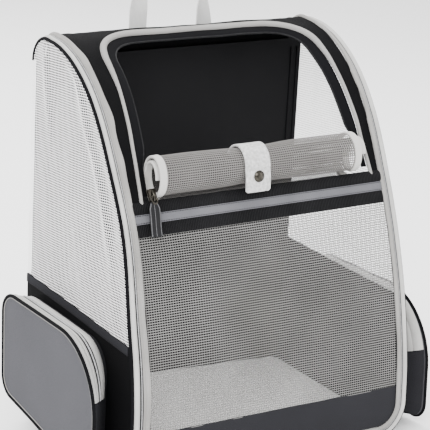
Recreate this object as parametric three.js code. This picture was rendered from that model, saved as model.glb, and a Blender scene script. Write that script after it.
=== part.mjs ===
// A soft-sided pet carrier worn as a backpack: a padded back and a stiff base, mesh sides, and a front
// that leans back in one curve from the hem to the top. The window flap is rolled down and strapped.
import * as THREE from 'three';

// Driving dimensions, in millimetres. X is the width, the front faces -Y, Z is up,
// and the origin is the middle of the base's underside.
const bodyWidth = 330;
const bodyDepth = 232;
const bodyHeight = 420;
const backLean = 12; // the back's top edge stands this far in front of its foot
const topRearRadius = 26; // rounding of the top into the back
const lowerCornerRadius = 42; // rounding of the sides into the base
const clearance = 0.3; // gap between pieces that touch

const clothThickness = 2;
const meshThickness = 1.4;
const tapeThickness = 1.6;
const backPadding = 8;
const baseThickness = 5;

const pipingRadius = 1.6;
const pipingSides = 6;
const bandWidth = 14; // the light zip band that frames the front
const bandThickness = 2;
const coilWidth = 2.4;
const coilHeight = 1;
const frontRise = 4; // the front panels stand this far outside the side outline

const meshLineBack = 165; // height of the side mesh's lower edge at the back
const meshLineFront = 143; // and at the front

const hemTop = 60; // height of the front's dark lower strip
const frontMeshTop = 250;
const lowerTapeHeight = 10;
const stripeHeight = 9;
const upperTapeHeight = 8.5;

const windowHalfWidth = 136; // to the middle of the window's piping, at its foot
const windowTopHalfWidth = 126; // and where its upper corners are
const windowCornerRadius = 50;
const windowRearMargin = 20; // from the window's top edge to where the rear rounding starts
const windowPipingRadius = 2.8;
const windowPipingSides = 8;
const lipWidth = 11; // zip tape along the window's edge

const rollRightGap = 7; // from the window piping's middle to the rolled flap's right end
const rollHeight = 49; // of the whole spiral, its outermost turn included
const rollDepth = 40;
const rollForward = 6; // how far the roll's middle stands in front of the side outline
const rollBindingWidth = 8;
const rollBindingThickness = 3;
const rollPitch = 5.2; // distance between two turns of the roll
const rollTurns = 1.7;
const rollTailAngle = 250; // degrees from the roll's front, over its top, to where the cloth leaves it
const rollMiddleHeight = 301;

const snapStrapWidth = 29;
const snapStrapThickness = 2;
const snapStrapMiddle = -12;
const snapStrapFoot = 278; // height of the strap's free end
const snapStrapRootAngle = 202; // degrees from the roll's front, over its top, to the strap's root behind it
const snapHeight = 294;
const snapRadius = 5.5;
const snapRise = 2.4;

const sliderWidth = 8.6;
const sliderLength = 14;
const sliderDepth = 4.5;
const sliderCorner = 3;
const pullWidth = 11;
const pullLength = 38;
const pullThickness = 3;
const pullCorner = 3.5;
const pullEyeWidth = 5;
const pullEyeHeight = 4;
const pullEyeMargin = 2.5; // from the pull's top edge to its eye
const pullHang = 3.5; // the pull's top edge hangs this far below the slider's middle

const pocketThickness = 38; // how far a side pocket stands out
const pocketTapeEdge = 0.12; // share of the gusset left bare beside its zip tape

const matThickness = 16;
const matInset = 24; // from the carrier's sides to the mat's
const matSideGap = 5;

const webbingWidth = 21;
const webbingThickness = 2;
const handleSpacing = 82; // between the middles of the handle's two legs
const handleRise = 74; // above the body's top
const handleFootLength = 26;

const shoulderPadWidth = 54;
const shoulderPadThickness = 8;
const lowerWebbingWidth = 24;
const buckleHeight = 22;
const buckleWidth = 32;
const buckleThickness = 5;
const buckleBar = 4;
const buckleCorner = 3;

const halfWidth = bodyWidth / 2;
const halfDepth = bodyDepth / 2;

// The side outline of the front: at each share of the height, how far it leans back, as a share of the depth.
const frontCurve = [
  { height: 0, setback: 0 },
  { height: 0.1, setback: 0 },
  { height: 0.2, setback: 0.001 },
  { height: 0.35, setback: 0.036 },
  { height: 0.5, setback: 0.108 },
  { height: 0.65, setback: 0.207 },
  { height: 0.8, setback: 0.33 },
  { height: 0.9, setback: 0.46 },
  { height: 0.96, setback: 0.598 },
  { height: 0.99, setback: 0.727 },
];
const frontSamples = 90;
const arcSamples = 14;

// The back is a straight line from its foot, leaning forwards to the top.
const backSlope = backLean / bodyHeight;
const backStretch = Math.hypot(1, backSlope);
const backY = (z) => halfDepth - backSlope * z;
const backNormal = new THREE.Vector3(0, 1 / backStretch, backSlope / backStretch);
const backUp = new THREE.Vector3(0, -backSlope / backStretch, 1 / backStretch);
const rearArcZ = bodyHeight - topRearRadius;
const rearArcY = backY(rearArcZ) - topRearRadius * backStretch;

// The whole side outline as a dense line of (y, z) with its length so far, from the front hem over the top
// to where the rear rounding meets the back.
function traceOutline() {
  const knots = frontCurve.map(
    (row) => new THREE.Vector3(0, -halfDepth + row.setback * bodyDepth, row.height * bodyHeight),
  );
  knots.push(new THREE.Vector3(0, rearArcY, bodyHeight));
  const line = new THREE.CatmullRomCurve3(knots, false, 'centripetal').getSpacedPoints(frontSamples);
  const lastAngle = Math.atan2(backNormal.z, backNormal.y);
  for (let i = 1; i <= arcSamples; i++) {
    const angle = Math.PI / 2 + ((lastAngle - Math.PI / 2) * i) / arcSamples;
    const y = rearArcY + topRearRadius * Math.cos(angle);
    line.push(new THREE.Vector3(0, y, rearArcZ + topRearRadius * Math.sin(angle)));
  }
  let length = 0;
  return line.map((point, i) => {
    if (i > 0) length += point.distanceTo(line[i - 1]);
    return { y: point.y, z: point.z, length };
  });
}
const outline = traceOutline();
const outlineLength = outline[outline.length - 1].length;

// The outline's point and outward normal at a length from the front hem.
function outlineAt(length) {
  let i = 1;
  while (i < outline.length - 1 && outline[i].length < length) i++;
  const [a, b] = [outline[i - 1], outline[i]];
  const share = (length - a.length) / (b.length - a.length);
  const slopeAt = (k) => {
    const before = outline[Math.max(k - 1, 0)];
    const after = outline[Math.min(k + 1, outline.length - 1)];
    return new THREE.Vector2(after.y - before.y, after.z - before.z).normalize();
  };
  const tangent = slopeAt(i - 1).lerp(slopeAt(i), THREE.MathUtils.clamp(share, 0, 1)).normalize();
  return {
    y: THREE.MathUtils.lerp(a.y, b.y, share),
    z: THREE.MathUtils.lerp(a.z, b.z, share),
    normalY: -tangent.y,
    normalZ: tangent.x,
  };
}

// The length along the outline at which the front reaches a height.
function lengthAtHeight(z) {
  const i = outline.findIndex((point) => point.z >= z);
  if (i <= 0) return 0;
  const [a, b] = [outline[i - 1], outline[i]];
  return THREE.MathUtils.lerp(a.length, b.length, (z - a.z) / (b.z - a.z));
}

// A point of the front: x across, a length along the side outline, and a rise outside it.
function frontPoint(x, length, rise) {
  const at = outlineAt(length);
  return new THREE.Vector3(x, at.y + at.normalY * rise, at.z + at.normalZ * rise);
}

const hemTopLength = lengthAtHeight(hemTop);
const meshTopLength = lengthAtHeight(frontMeshTop);
const stripeFootLength = meshTopLength + lowerTapeHeight;
const stripeTopLength = stripeFootLength + stripeHeight;
const windowFootLength = stripeTopLength + upperTapeHeight;
const rearArcLength = outline[frontSamples].length;
const windowTopLength = rearArcLength - windowRearMargin;

// How far the front's outer face stands outside the outline: the top panel comes down to the back's face.
const rearRise = clothThickness + clearance;
const riseAtLength = (length) =>
  THREE.MathUtils.lerp(frontRise, rearRise, THREE.MathUtils.smoothstep(length, rearArcLength, outlineLength));

// A mesh from shared vertices and triangles, turned round if its faces point inwards.
function closedMesh(name, material, vertices, triangles) {
  let volume = 0;
  for (const [a, b, c] of triangles) {
    volume += vertices[a].dot(new THREE.Vector3().crossVectors(vertices[b], vertices[c]));
  }
  const order = volume < 0 ? triangles.map(([a, b, c]) => [a, c, b]) : triangles;
  const geometry = new THREE.BufferGeometry().setFromPoints(vertices);
  geometry.setIndex(order.flat());
  geometry.computeVertexNormals();
  return namedMesh(name, material, geometry);
}

function namedMesh(name, material, geometry) {
  const mesh = new THREE.Mesh(geometry, material);
  mesh.name = name;
  return mesh;
}

// A wall between two matching grids of points, closed along its edges. A looped wall joins its last row
// to its first one.
function wall(name, material, outer, inner, looped = false) {
  const rows = outer.length;
  const columns = outer[0].length;
  const vertices = [...outer.flat(), ...inner.flat()];
  const triangles = [];
  const at = (side, i, j) => side * rows * columns + (i % rows) * columns + j;
  const quad = (a, b, c, d) => triangles.push([a, b, c], [a, c, d]);
  const rowSpans = looped ? rows : rows - 1;
  for (let i = 0; i < rowSpans; i++) {
    for (let j = 0; j < columns - 1; j++) {
      quad(at(0, i, j), at(0, i, j + 1), at(0, i + 1, j + 1), at(0, i + 1, j));
      quad(at(1, i, j), at(1, i + 1, j), at(1, i + 1, j + 1), at(1, i, j + 1));
    }
    quad(at(0, i, 0), at(0, i + 1, 0), at(1, i + 1, 0), at(1, i, 0));
    quad(at(0, i, columns - 1), at(1, i, columns - 1), at(1, i + 1, columns - 1), at(0, i + 1, columns - 1));
  }
  if (!looped) {
    for (let j = 0; j < columns - 1; j++) {
      quad(at(0, 0, j), at(1, 0, j), at(1, 0, j + 1), at(0, 0, j + 1));
      quad(at(0, rows - 1, j), at(0, rows - 1, j + 1), at(1, rows - 1, j + 1), at(1, rows - 1, j));
    }
  }
  return closedMesh(name, material, vertices, triangles);
}

// A round cord through points, each with the two directions that span its section.
function cord(name, material, stations, radius, sides, looped = false) {
  const rings = stations.map(({ centre, across, out }) =>
    Array.from({ length: sides }, (unused, k) => {
      const angle = (2 * Math.PI * k) / sides;
      return centre
        .clone()
        .addScaledVector(across, radius * Math.cos(angle))
        .addScaledVector(out, radius * Math.sin(angle));
    }),
  );
  const vertices = rings.flat();
  const triangles = [];
  const spans = looped ? rings.length : rings.length - 1;
  for (let i = 0; i < spans; i++) {
    const here = i * sides;
    const next = ((i + 1) % rings.length) * sides;
    for (let k = 0; k < sides; k++) {
      const turn = (k + 1) % sides;
      triangles.push([here + k, here + turn, next + turn], [here + k, next + turn, next + k]);
    }
  }
  if (!looped) {
    const last = (rings.length - 1) * sides;
    for (let k = 1; k < sides - 1; k++) {
      triangles.push([0, k + 1, k], [last, last + k, last + k + 1]);
    }
  }
  return closedMesh(name, material, vertices, triangles);
}

const spread = (from, to, steps) =>
  Array.from({ length: steps + 1 }, (unused, i) => THREE.MathUtils.lerp(from, to, i / steps));

// A wall on the front from rows of chart points { x, length, rise }, so thick about each point's rise.
function frontWall(name, material, rows, thickness) {
  const layer = (shift) => rows.map((row) => row.map((p) => frontPoint(p.x, p.length, p.rise + shift)));
  return wall(name, material, layer(thickness / 2), layer(-thickness / 2));
}

const colours = {
  black: new THREE.MeshStandardMaterial({ color: 0x1b1b1e, roughness: 0.85, metalness: 0 }),
  charcoal: new THREE.MeshStandardMaterial({ color: 0x55565a, roughness: 0.8, metalness: 0 }),
  mesh: new THREE.MeshStandardMaterial({ color: 0xb9b6b5, roughness: 0.8, metalness: 0 }),
  paleTrim: new THREE.MeshStandardMaterial({ color: 0xcfccc8, roughness: 0.7, metalness: 0 }),
  coil: new THREE.MeshStandardMaterial({ color: 0x77767a, roughness: 0.6, metalness: 0 }),
  stripe: new THREE.MeshStandardMaterial({ color: 0x7d7e84, roughness: 0.45, metalness: 0 }),
  leather: new THREE.MeshStandardMaterial({ color: 0xdad8d6, roughness: 0.6, metalness: 0 }),
  metal: new THREE.MeshStandardMaterial({ color: 0x8d8a84, roughness: 0.3, metalness: 1 }),
  mat: new THREE.MeshStandardMaterial({ color: 0xc8c4bf, roughness: 0.9, metalness: 0 }),
  plastic: new THREE.MeshStandardMaterial({ color: 0x18181a, roughness: 0.45, metalness: 0 }),
};

// Chart points of the line that frames the front, a distance inside the body's outermost outline: up the
// back-left, down the left side, round both lower corners and up the right side. Each has its step from
// the left end, so that a stretch can be picked by side.
const uprightSteps = 26;
const cornerSteps = 7;
function framePath(inset) {
  const radius = lowerCornerRadius - inset;
  const cornerX = halfWidth - lowerCornerRadius;
  const upright = spread(outlineLength, lowerCornerRadius, uprightSteps);
  const left = upright.map((length) => ({ x: -halfWidth + inset, length }));
  const corner = spread(Math.PI, 1.5 * Math.PI, cornerSteps)
    .slice(1)
    .map((angle) => ({
      x: -cornerX + radius * Math.cos(angle),
      length: lowerCornerRadius + radius * Math.sin(angle),
    }));
  const half = [...left, ...corner];
  const mirrored = half.map((p) => ({ x: -p.x, length: p.length })).reverse();
  return [...half, ...mirrored];
}
const sideStations = uprightSteps + cornerSteps + 1;

// The zip band climbs from the outline to the front's face, from its outer edge to its inner one.
const bandOuterInset = 2 * pipingRadius + clearance;
const bandInnerInset = bandOuterInset + bandWidth;

function frameRows(insets) {
  const paths = insets.map((inset) => {
    const climb = (inset - bandOuterInset) / bandWidth;
    return framePath(inset).map((p) => ({ ...p, rise: riseAtLength(p.length) * climb }));
  });
  return paths[0].map((unused, i) => paths.map((path) => path[i]));
}

function zipBands() {
  const rows = frameRows([bandOuterInset, bandOuterInset + bandWidth / 2, bandInnerInset]);
  const left = rows.slice(0, sideStations);
  const right = rows.slice(sideStations);
  const inward = (row, x) => row.map((p) => ({ ...p, x }));
  const endX = halfWidth - lowerCornerRadius - clearance;
  const bottom = [inward(left[left.length - 1], -endX), inward(right[0], endX)];
  return [
    frontWall('zip_band_left', colours.paleTrim, left, bandThickness),
    frontWall('zip_band_bottom', colours.paleTrim, bottom, bandThickness),
    frontWall('zip_band_right', colours.paleTrim, right, bandThickness),
  ];
}

function zipCoil() {
  const middle = bandOuterInset + bandWidth / 2;
  const lift = bandThickness / 2 + clearance + coilHeight / 2;
  const rows = frameRows([middle - coilWidth / 2, middle + coilWidth / 2]).map((row) =>
    row.map((p) => ({ ...p, rise: p.rise + lift })),
  );
  return frontWall('zip_coil', colours.coil, rows, coilHeight);
}

function frontPiping() {
  const stations = framePath(pipingRadius).map((p, i, path) => {
    const before = path[Math.max(i - 1, 0)];
    const after = path[Math.min(i + 1, path.length - 1)];
    const behind = frontPoint(before.x, before.length, 0);
    const along = frontPoint(after.x, after.length, 0).sub(behind).normalize();
    const centre = frontPoint(p.x, p.length, 0);
    const out = frontPoint(p.x, p.length, 1).sub(centre);
    return { centre, out, across: new THREE.Vector3().crossVectors(along, out).normalize() };
  });
  return cord('front_piping', colours.black, stations, pipingRadius, pipingSides);
}

// The lower front: the dark hem strip with its rounded corners, the mesh, and the two zip tapes with the
// reflective stripe between them.
function hemStrip() {
  const inset = bandInnerInset + clearance;
  const radius = lowerCornerRadius - inset;
  const cornerX = halfWidth - lowerCornerRadius;
  const steps = 6;
  const corner = spread(0, Math.PI / 2, steps).map((angle) => ({
    x: cornerX + radius * Math.sin(angle),
    length: lowerCornerRadius - radius * Math.cos(angle),
  }));
  const edge = [...corner, { x: halfWidth - inset, length: hemTopLength - clearance / 2 }];
  const rise = frontRise - clothThickness / 2;
  const rows = edge.map((p) => [-p.x, p.x].map((x) => ({ x, length: p.length, rise })));
  return frontWall('hem_strip', colours.black, rows, clothThickness);
}

function frontStrip(name, material, from, to, steps, thickness) {
  const x = halfWidth - bandInnerInset - clearance;
  const rows = spread(from + clearance / 2, to - clearance / 2, steps).map((length) =>
    [-x, x].map((side) => ({ x: side, length, rise: frontRise - thickness / 2 })),
  );
  return frontWall(name, material, rows, thickness);
}

function lowerFront() {
  return [
    hemStrip(),
    frontStrip('front_mesh', colours.mesh, hemTopLength, meshTopLength, 14, meshThickness),
    frontStrip('zip_tape_lower', colours.black, meshTopLength, stripeFootLength, 1, tapeThickness),
    frontStrip('reflective_stripe', colours.stripe, stripeFootLength, stripeTopLength, 1, tapeThickness),
    frontStrip('zip_tape_upper', colours.black, stripeTopLength, windowFootLength, 1, tapeThickness),
  ];
}

// Chart points along the window's edge, moved outwards by an offset: up the left side, round both upper
// corners and down the right side.
const legSteps = 16;
const windowCornerSteps = 7;
const windowCornerX = windowTopHalfWidth - windowCornerRadius;
const windowCornerLength = windowTopLength - windowCornerRadius;
function windowLegX(length) {
  const share = (length - windowFootLength) / (windowCornerLength - windowFootLength);
  return THREE.MathUtils.lerp(windowHalfWidth, windowTopHalfWidth, share);
}

// The window zip's slider is parked at the foot of the left leg, and the rolled flap ends beside it.
const sliderTopLength = lengthAtHeight(outlineAt(windowFootLength).z + sliderLength);
const legAtSlider = windowLegX(sliderTopLength);
const sliderMiddle = windowPipingRadius + clearance + sliderWidth / 2 - legAtSlider;
const rollLeft = sliderMiddle + sliderWidth / 2 + clearance;
const rollRight = legAtSlider - rollRightGap;

function windowPath(offset, footLength = windowFootLength + clearance / 2) {
  const radius = windowCornerRadius + offset;
  const cornerX = windowCornerX;
  const cornerLength = windowCornerLength;
  const leg = spread(footLength, cornerLength, legSteps).map((length) => ({
    x: -offset - windowLegX(length),
    length,
  }));
  const corner = spread(Math.PI, Math.PI / 2, windowCornerSteps)
    .slice(1)
    .map((angle) => ({
      x: -cornerX + radius * Math.cos(angle),
      length: cornerLength + radius * Math.sin(angle),
    }));
  const half = [...leg, ...corner];
  return [...half, ...half.map((p) => ({ x: -p.x, length: p.length })).reverse()];
}

// Where a line from the window's corner centre through an edge point meets the upper panel's own edge.
function panelEdge(point) {
  const x = halfWidth - bandInnerInset - clearance;
  const side = Math.sign(point.x);
  const cornerX = side * windowCornerX;
  const cornerLength = windowCornerLength;
  const across = point.x - cornerX;
  const along = point.length - cornerLength;
  if (along <= 0) return { x: side * x, length: point.length };
  const toSide = (side * x - cornerX) / across;
  const toTop = (outlineLength - cornerLength) / along;
  const reach = Math.min(Math.abs(toSide), toTop);
  return { x: cornerX + across * reach, length: cornerLength + along * reach };
}

// The dark panel round the window, which also covers the top and its rear rounding.
function upperPanel() {
  const edge = windowPath(windowPipingRadius + clearance);
  const steps = 7;
  const rows = edge.map((inner) => {
    const outer = panelEdge(inner);
    return spread(0, 1, steps).map((share) => ({
      x: THREE.MathUtils.lerp(inner.x, outer.x, share),
      length: THREE.MathUtils.lerp(inner.length, outer.length, share),
    }));
  });
  // The rounding's two far corners get a row of their own, so that the panel fills them.
  const risen = withCornerRows(rows, edge).map((row) =>
    row.map((p) => ({ ...p, rise: riseAtLength(p.length) - clothThickness / 2 })),
  );
  return frontWall('upper_panel', colours.black, risen, clothThickness);
}

// Adds, beside each window corner, the row that ends exactly in the panel's far corner.
function withCornerRows(rows, edge) {
  const x = halfWidth - bandInnerInset - clearance;
  const cornerX = windowCornerX;
  const cornerLength = windowCornerLength;
  const farAngle = Math.atan2(outlineLength - cornerLength, x - cornerX);
  const radius = windowCornerRadius + windowPipingRadius + clearance;
  const steps = rows[0].length - 1;
  const cornerRow = (side) =>
    spread(0, 1, steps).map((share) => ({
      x: side * THREE.MathUtils.lerp(cornerX + radius * Math.cos(farAngle), x, share),
      length: THREE.MathUtils.lerp(cornerLength + radius * Math.sin(farAngle), outlineLength, share),
    }));
  const angleOf = (p) => Math.atan2(p.length - cornerLength, Math.abs(p.x) - cornerX);
  const half = edge.length / 2;
  const firstPast = edge.findIndex((p, i) => i < half && p.length > cornerLength && angleOf(p) > farAngle);
  const mirroredPast = edge.length - firstPast;
  return [
    ...rows.slice(0, firstPast),
    cornerRow(-1),
    ...rows.slice(firstPast, mirroredPast),
    cornerRow(1),
    ...rows.slice(mirroredPast),
  ];
}

function windowPiping() {
  const inward = windowPath(-1);
  const stations = windowPath(0).map((p, i) => {
    const centre = frontPoint(p.x, p.length, frontRise);
    const out = frontPoint(p.x, p.length, frontRise + 1).sub(centre);
    const across = centre.clone().sub(frontPoint(inward[i].x, inward[i].length, frontRise)).normalize();
    return { centre, out, across };
  });
  return cord('window_piping', colours.paleTrim, stations, windowPipingRadius, windowPipingSides);
}

// The zip tape inside the piping starts above the roll, which fills the opening's foot.
function windowLip() {
  const foot = lengthAtHeight(rollMiddleHeight + rollHeight / 2 + clearance);
  const outer = windowPath(-windowPipingRadius - clearance, foot);
  const inner = windowPath(-windowPipingRadius - clearance - lipWidth, foot);
  const rows = outer.map((p, i) => [p, inner[i]].map((q) => ({ ...q, rise: frontRise - tapeThickness })));
  return frontWall('window_zip_tape', colours.black, rows, tapeThickness);
}

// The rolled flap seen from the side: a spiral about its own middle, squashed to the roll's depth and
// height. Angle 0 points forwards and a quarter turn points up.
const rollMiddle = frontPoint(0, lengthAtHeight(rollMiddleHeight), 0);
rollMiddle.y -= rollForward;
const rollTail = THREE.MathUtils.degToRad(rollTailAngle);
const rollStepsPerTurn = 16;

function aroundRoll(angle, outside) {
  const reachY = rollDepth / 2 + outside;
  const reachZ = rollHeight / 2 + outside;
  const y = rollMiddle.y - reachY * Math.cos(angle);
  return new THREE.Vector3(0, y, rollMiddle.z + reachZ * Math.sin(angle));
}

// How far the cloth's middle has wound in from the roll's outside by an angle.
const woundIn = (angle) => rollBindingThickness / 2 + (rollPitch * (rollTail - angle)) / (2 * Math.PI);

// Points down the middle of the flap's cloth, from the seam above the zip tape round and into the roll.
function rollLine() {
  const seamRise = frontRise + clearance + rollBindingThickness / 2;
  const seam = frontPoint(0, windowFootLength + meshThickness, seamRise);
  const steps = Math.round(rollTurns * rollStepsPerTurn);
  const turns = spread(rollTail, rollTail - rollTurns * 2 * Math.PI, steps).map((angle) =>
    aroundRoll(angle, -woundIn(angle)),
  );
  return [seam, ...turns];
}

// A cloth of even thickness along a line of points in the side view, from one x to another.
function sideStrip(name, material, line, fromX, toX, thickness) {
  const normals = line.map((point, i) => {
    const before = line[Math.max(i - 1, 0)];
    const after = line[Math.min(i + 1, line.length - 1)];
    const along = after.clone().sub(before).normalize();
    return new THREE.Vector3(0, -along.z, along.y);
  });
  const layer = (shift) =>
    line.map((point, i) =>
      [fromX, toX].map((x) => point.clone().addScaledVector(normals[i], shift).setX(x)),
    );
  return wall(name, material, layer(thickness / 2), layer(-thickness / 2));
}

function rolledFlap() {
  const line = rollLine();
  const leftEdge = rollLeft + rollBindingWidth;
  const rightEdge = rollRight - rollBindingWidth;
  return [
    sideStrip('rolled_flap', colours.mesh, line, leftEdge + clearance, rightEdge - clearance, meshThickness),
    sideStrip('flap_binding_left', colours.paleTrim, line, rollLeft, leftEdge, rollBindingThickness),
    sideStrip('flap_binding_right', colours.paleTrim, line, rightEdge, rollRight, rollBindingThickness),
  ];
}

// The leather strap runs up behind the roll, over it and straight down in front, and its cap sits on it.
const strapAround = (angle, outside) =>
  aroundRoll(angle, meshThickness / 2 + clearance + outside - woundIn(angle));
function snapStrap() {
  const steps = 14;
  const root = THREE.MathUtils.degToRad(snapStrapRootAngle);
  const round = spread(root, 0, steps).map((angle) => strapAround(angle, snapStrapThickness / 2));
  const front = round[round.length - 1];
  const line = [...round, new THREE.Vector3(0, front.y, snapStrapFoot)];
  const left = snapStrapMiddle - snapStrapWidth / 2;
  return sideStrip('snap_strap', colours.leather, line, left, left + snapStrapWidth, snapStrapThickness);
}

// The cap's dome: shares of its radius and of its rise.
const snapDome = [
  { out: 0, up: 0 },
  { out: 1, up: 0 },
  { out: 1, up: 0.3 },
  { out: 0.85, up: 0.72 },
  { out: 0.5, up: 0.95 },
  { out: 0, up: 1 },
];
const snapSides = 16;

function snapCap() {
  const profile = snapDome.map((row) => new THREE.Vector2(row.out * snapRadius, row.up * snapRise));
  const mesh = namedMesh('snap_cap', colours.metal, new THREE.LatheGeometry(profile, snapSides));
  const strapFront = strapAround(0, snapStrapThickness + clearance);
  mesh.rotation.x = Math.PI;
  mesh.position.set(snapStrapMiddle, strapFront.y, snapHeight);
  return mesh;
}

// A flat plate cut from an outline in its own plane, standing on the front with its back at a rise.
function frontPlate(name, material, shape, thickness, x, height, rise) {
  const cut = { depth: thickness, bevelEnabled: false, curveSegments: 5 };
  const mesh = namedMesh(name, material, new THREE.ExtrudeGeometry(shape, cut));
  const at = outlineAt(lengthAtHeight(height));
  const tilt = Math.atan2(at.normalZ, -at.normalY);
  mesh.rotation.x = Math.PI / 2 - tilt;
  mesh.position.copy(frontPoint(x, lengthAtHeight(height), rise));
  return mesh;
}

function roundedPlate(width, length, radius) {
  const shape = new THREE.Shape();
  const [w, h] = [width / 2, length / 2];
  shape.moveTo(-w + radius, -h);
  shape.lineTo(w - radius, -h);
  shape.absarc(w - radius, -h + radius, radius, -Math.PI / 2, 0);
  shape.lineTo(w, h - radius);
  shape.absarc(w - radius, h - radius, radius, 0, Math.PI / 2);
  shape.lineTo(-w + radius, h);
  shape.absarc(-w + radius, h - radius, radius, Math.PI / 2, Math.PI);
  shape.lineTo(-w, -h + radius);
  shape.absarc(-w + radius, -h + radius, radius, Math.PI, 1.5 * Math.PI);
  return shape;
}

// The slider stands just above the seam at the window's foot, and its pull hangs over the tapes.
function zipSlider() {
  const height = outlineAt(windowFootLength).z + sliderLength / 2 + clearance;
  const lipFace = frontRise - tapeThickness / 2;
  const pullMiddle = height - pullHang - pullLength / 2;
  const pullShape = roundedPlate(pullWidth, pullLength, pullCorner);
  const eye = new THREE.Path();
  const eyeMiddle = (pullLength - pullEyeHeight) / 2 - pullEyeMargin;
  eye.absellipse(0, eyeMiddle, pullEyeWidth / 2, pullEyeHeight / 2, 0, 2 * Math.PI, true);
  pullShape.holes.push(eye);
  return [
    frontPlate(
      'zip_slider',
      colours.metal,
      roundedPlate(sliderWidth, sliderLength, sliderCorner),
      sliderDepth,
      sliderMiddle,
      height,
      lipFace + clearance,
    ),
    frontPlate(
      'zip_pull',
      colours.plastic,
      pullShape,
      pullThickness,
      sliderMiddle,
      pullMiddle,
      lipFace + 2 * clearance + sliderDepth,
    ),
  ];
}

// The sides: x of the wall's outer face at a height, round the lower corner.
function sideX(z) {
  const drop = THREE.MathUtils.clamp(lowerCornerRadius - z, 0, lowerCornerRadius);
  return halfWidth - lowerCornerRadius + Math.sqrt(lowerCornerRadius ** 2 - drop ** 2);
}

const sideEdgeInset = 2 * pipingRadius + clearance; // from the outline to the side cloth's edge
const sideBackY = (z) => backY(z) - clearance;
const innerBackY = (z) => backY(z) - (backPadding + clearance) * backStretch;
const frontEdgeY = (z) => outlineAt(lengthAtHeight(z)).y + sideEdgeInset;
const meshLine = (y) =>
  THREE.MathUtils.mapLinear(y, -halfDepth, halfDepth, meshLineFront, meshLineBack);

// The mesh side: the outline moved in past the piping, down to the mesh line. Its edge leaves the outline
// this far before the outline's end and goes straight to the back.
const sideTopCut = 15.6;
const sideSamples = 30;
function sideMesh(side) {
  const shape = new THREE.Shape();
  const frontFoot = meshLine(frontEdgeY(meshLineFront));
  const backFoot = meshLine(sideBackY(meshLineBack));
  shape.moveTo(sideBackY(backFoot), backFoot + clearance / 2);
  shape.lineTo(frontEdgeY(frontFoot), frontFoot + clearance / 2);
  const from = lengthAtHeight(frontFoot);
  for (const length of spread(from, outlineLength - sideTopCut, sideSamples).slice(1)) {
    const p = frontPoint(0, length, -sideEdgeInset);
    shape.lineTo(Math.min(p.y, sideBackY(p.z)), p.z);
  }
  const geometry = new THREE.ExtrudeGeometry(shape, { depth: meshThickness, bevelEnabled: false });
  const mesh = namedMesh(`side_mesh_${side < 0 ? 'left' : 'right'}`, colours.mesh, geometry);
  mesh.rotation.set(Math.PI / 2, Math.PI / 2, 0);
  mesh.position.x = side < 0 ? -halfWidth : halfWidth - meshThickness;
  return mesh;
}

// The dark cloth below the mesh, which turns under into the base.
function sideLower(side) {
  const arcSteps = 7;
  const cornerX = halfWidth - lowerCornerRadius;
  const wallPoints = (inset) => {
    const radius = lowerCornerRadius - inset;
    const rows = spread(0, Math.PI / 2, arcSteps).map((angle) => {
      const x = cornerX + radius * Math.sin(angle);
      const z = lowerCornerRadius - radius * Math.cos(angle);
      return [frontEdgeY(z), sideBackY(z)].map((y) => new THREE.Vector3(side * x, y, z));
    });
    const steps = 3;
    for (const share of spread(0, 1, steps).slice(1)) {
      rows.push(
        [meshLineFront, meshLineBack].map((line, k) => {
          const y = k === 0 ? frontEdgeY(line) : sideBackY(line);
          const z = THREE.MathUtils.lerp(lowerCornerRadius, meshLine(y) - clearance / 2, share);
          return new THREE.Vector3(side * (cornerX + radius), k === 0 ? frontEdgeY(z) : sideBackY(z), z);
        }),
      );
    }
    return rows;
  };
  const name = `side_lower_${side < 0 ? 'left' : 'right'}`;
  return wall(name, colours.black, wallPoints(0), wallPoints(clothThickness));
}

// The padded back stands on the base between the sides: square at its top, rounded below like the sides,
// leaning with the back's line.
function backPanel() {
  const shape = new THREE.Shape();
  const foot = (baseThickness + clearance) * backStretch;
  const top = rearArcZ * backStretch - clearance;
  const radius = lowerCornerRadius - clothThickness - 2 * clearance;
  const cornerX = halfWidth - lowerCornerRadius;
  const footAngle = Math.asin((lowerCornerRadius - foot) / radius);
  const x = cornerX + radius;
  shape.moveTo(-cornerX - radius * Math.cos(footAngle), foot);
  shape.lineTo(cornerX + radius * Math.cos(footAngle), foot);
  shape.absarc(cornerX, lowerCornerRadius, radius, -footAngle, 0);
  shape.lineTo(x, top);
  shape.lineTo(-x, top);
  shape.lineTo(-x, lowerCornerRadius);
  shape.absarc(-cornerX, lowerCornerRadius, radius, Math.PI, Math.PI + footAngle);
  const cut = { depth: backPadding, bevelEnabled: false, curveSegments: 7 };
  const mesh = namedMesh('back_panel', colours.black, new THREE.ExtrudeGeometry(shape, cut));
  mesh.rotation.x = Math.PI / 2 + Math.atan(backSlope);
  mesh.position.y = halfDepth;
  return mesh;
}

function basePanel() {
  const x = halfWidth - lowerCornerRadius - clearance;
  const front = -halfDepth + sideEdgeInset;
  const back = sideBackY(0);
  const geometry = new THREE.BoxGeometry(2 * x, back - front, baseThickness);
  const mesh = namedMesh('base_panel', colours.black, geometry);
  mesh.position.set(0, (front + back) / 2, baseThickness / 2);
  return mesh;
}

// The floor mat lies on the base, narrower below where the sides turn under, with a soft upper edge: shares
// of its half width and of its thickness.
const matEdge = [
  { across: 0.93, up: 0 },
  { across: 1, up: 0.5 },
  { across: 0.986, up: 0.9 },
  { across: 0.957, up: 1 },
];

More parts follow.
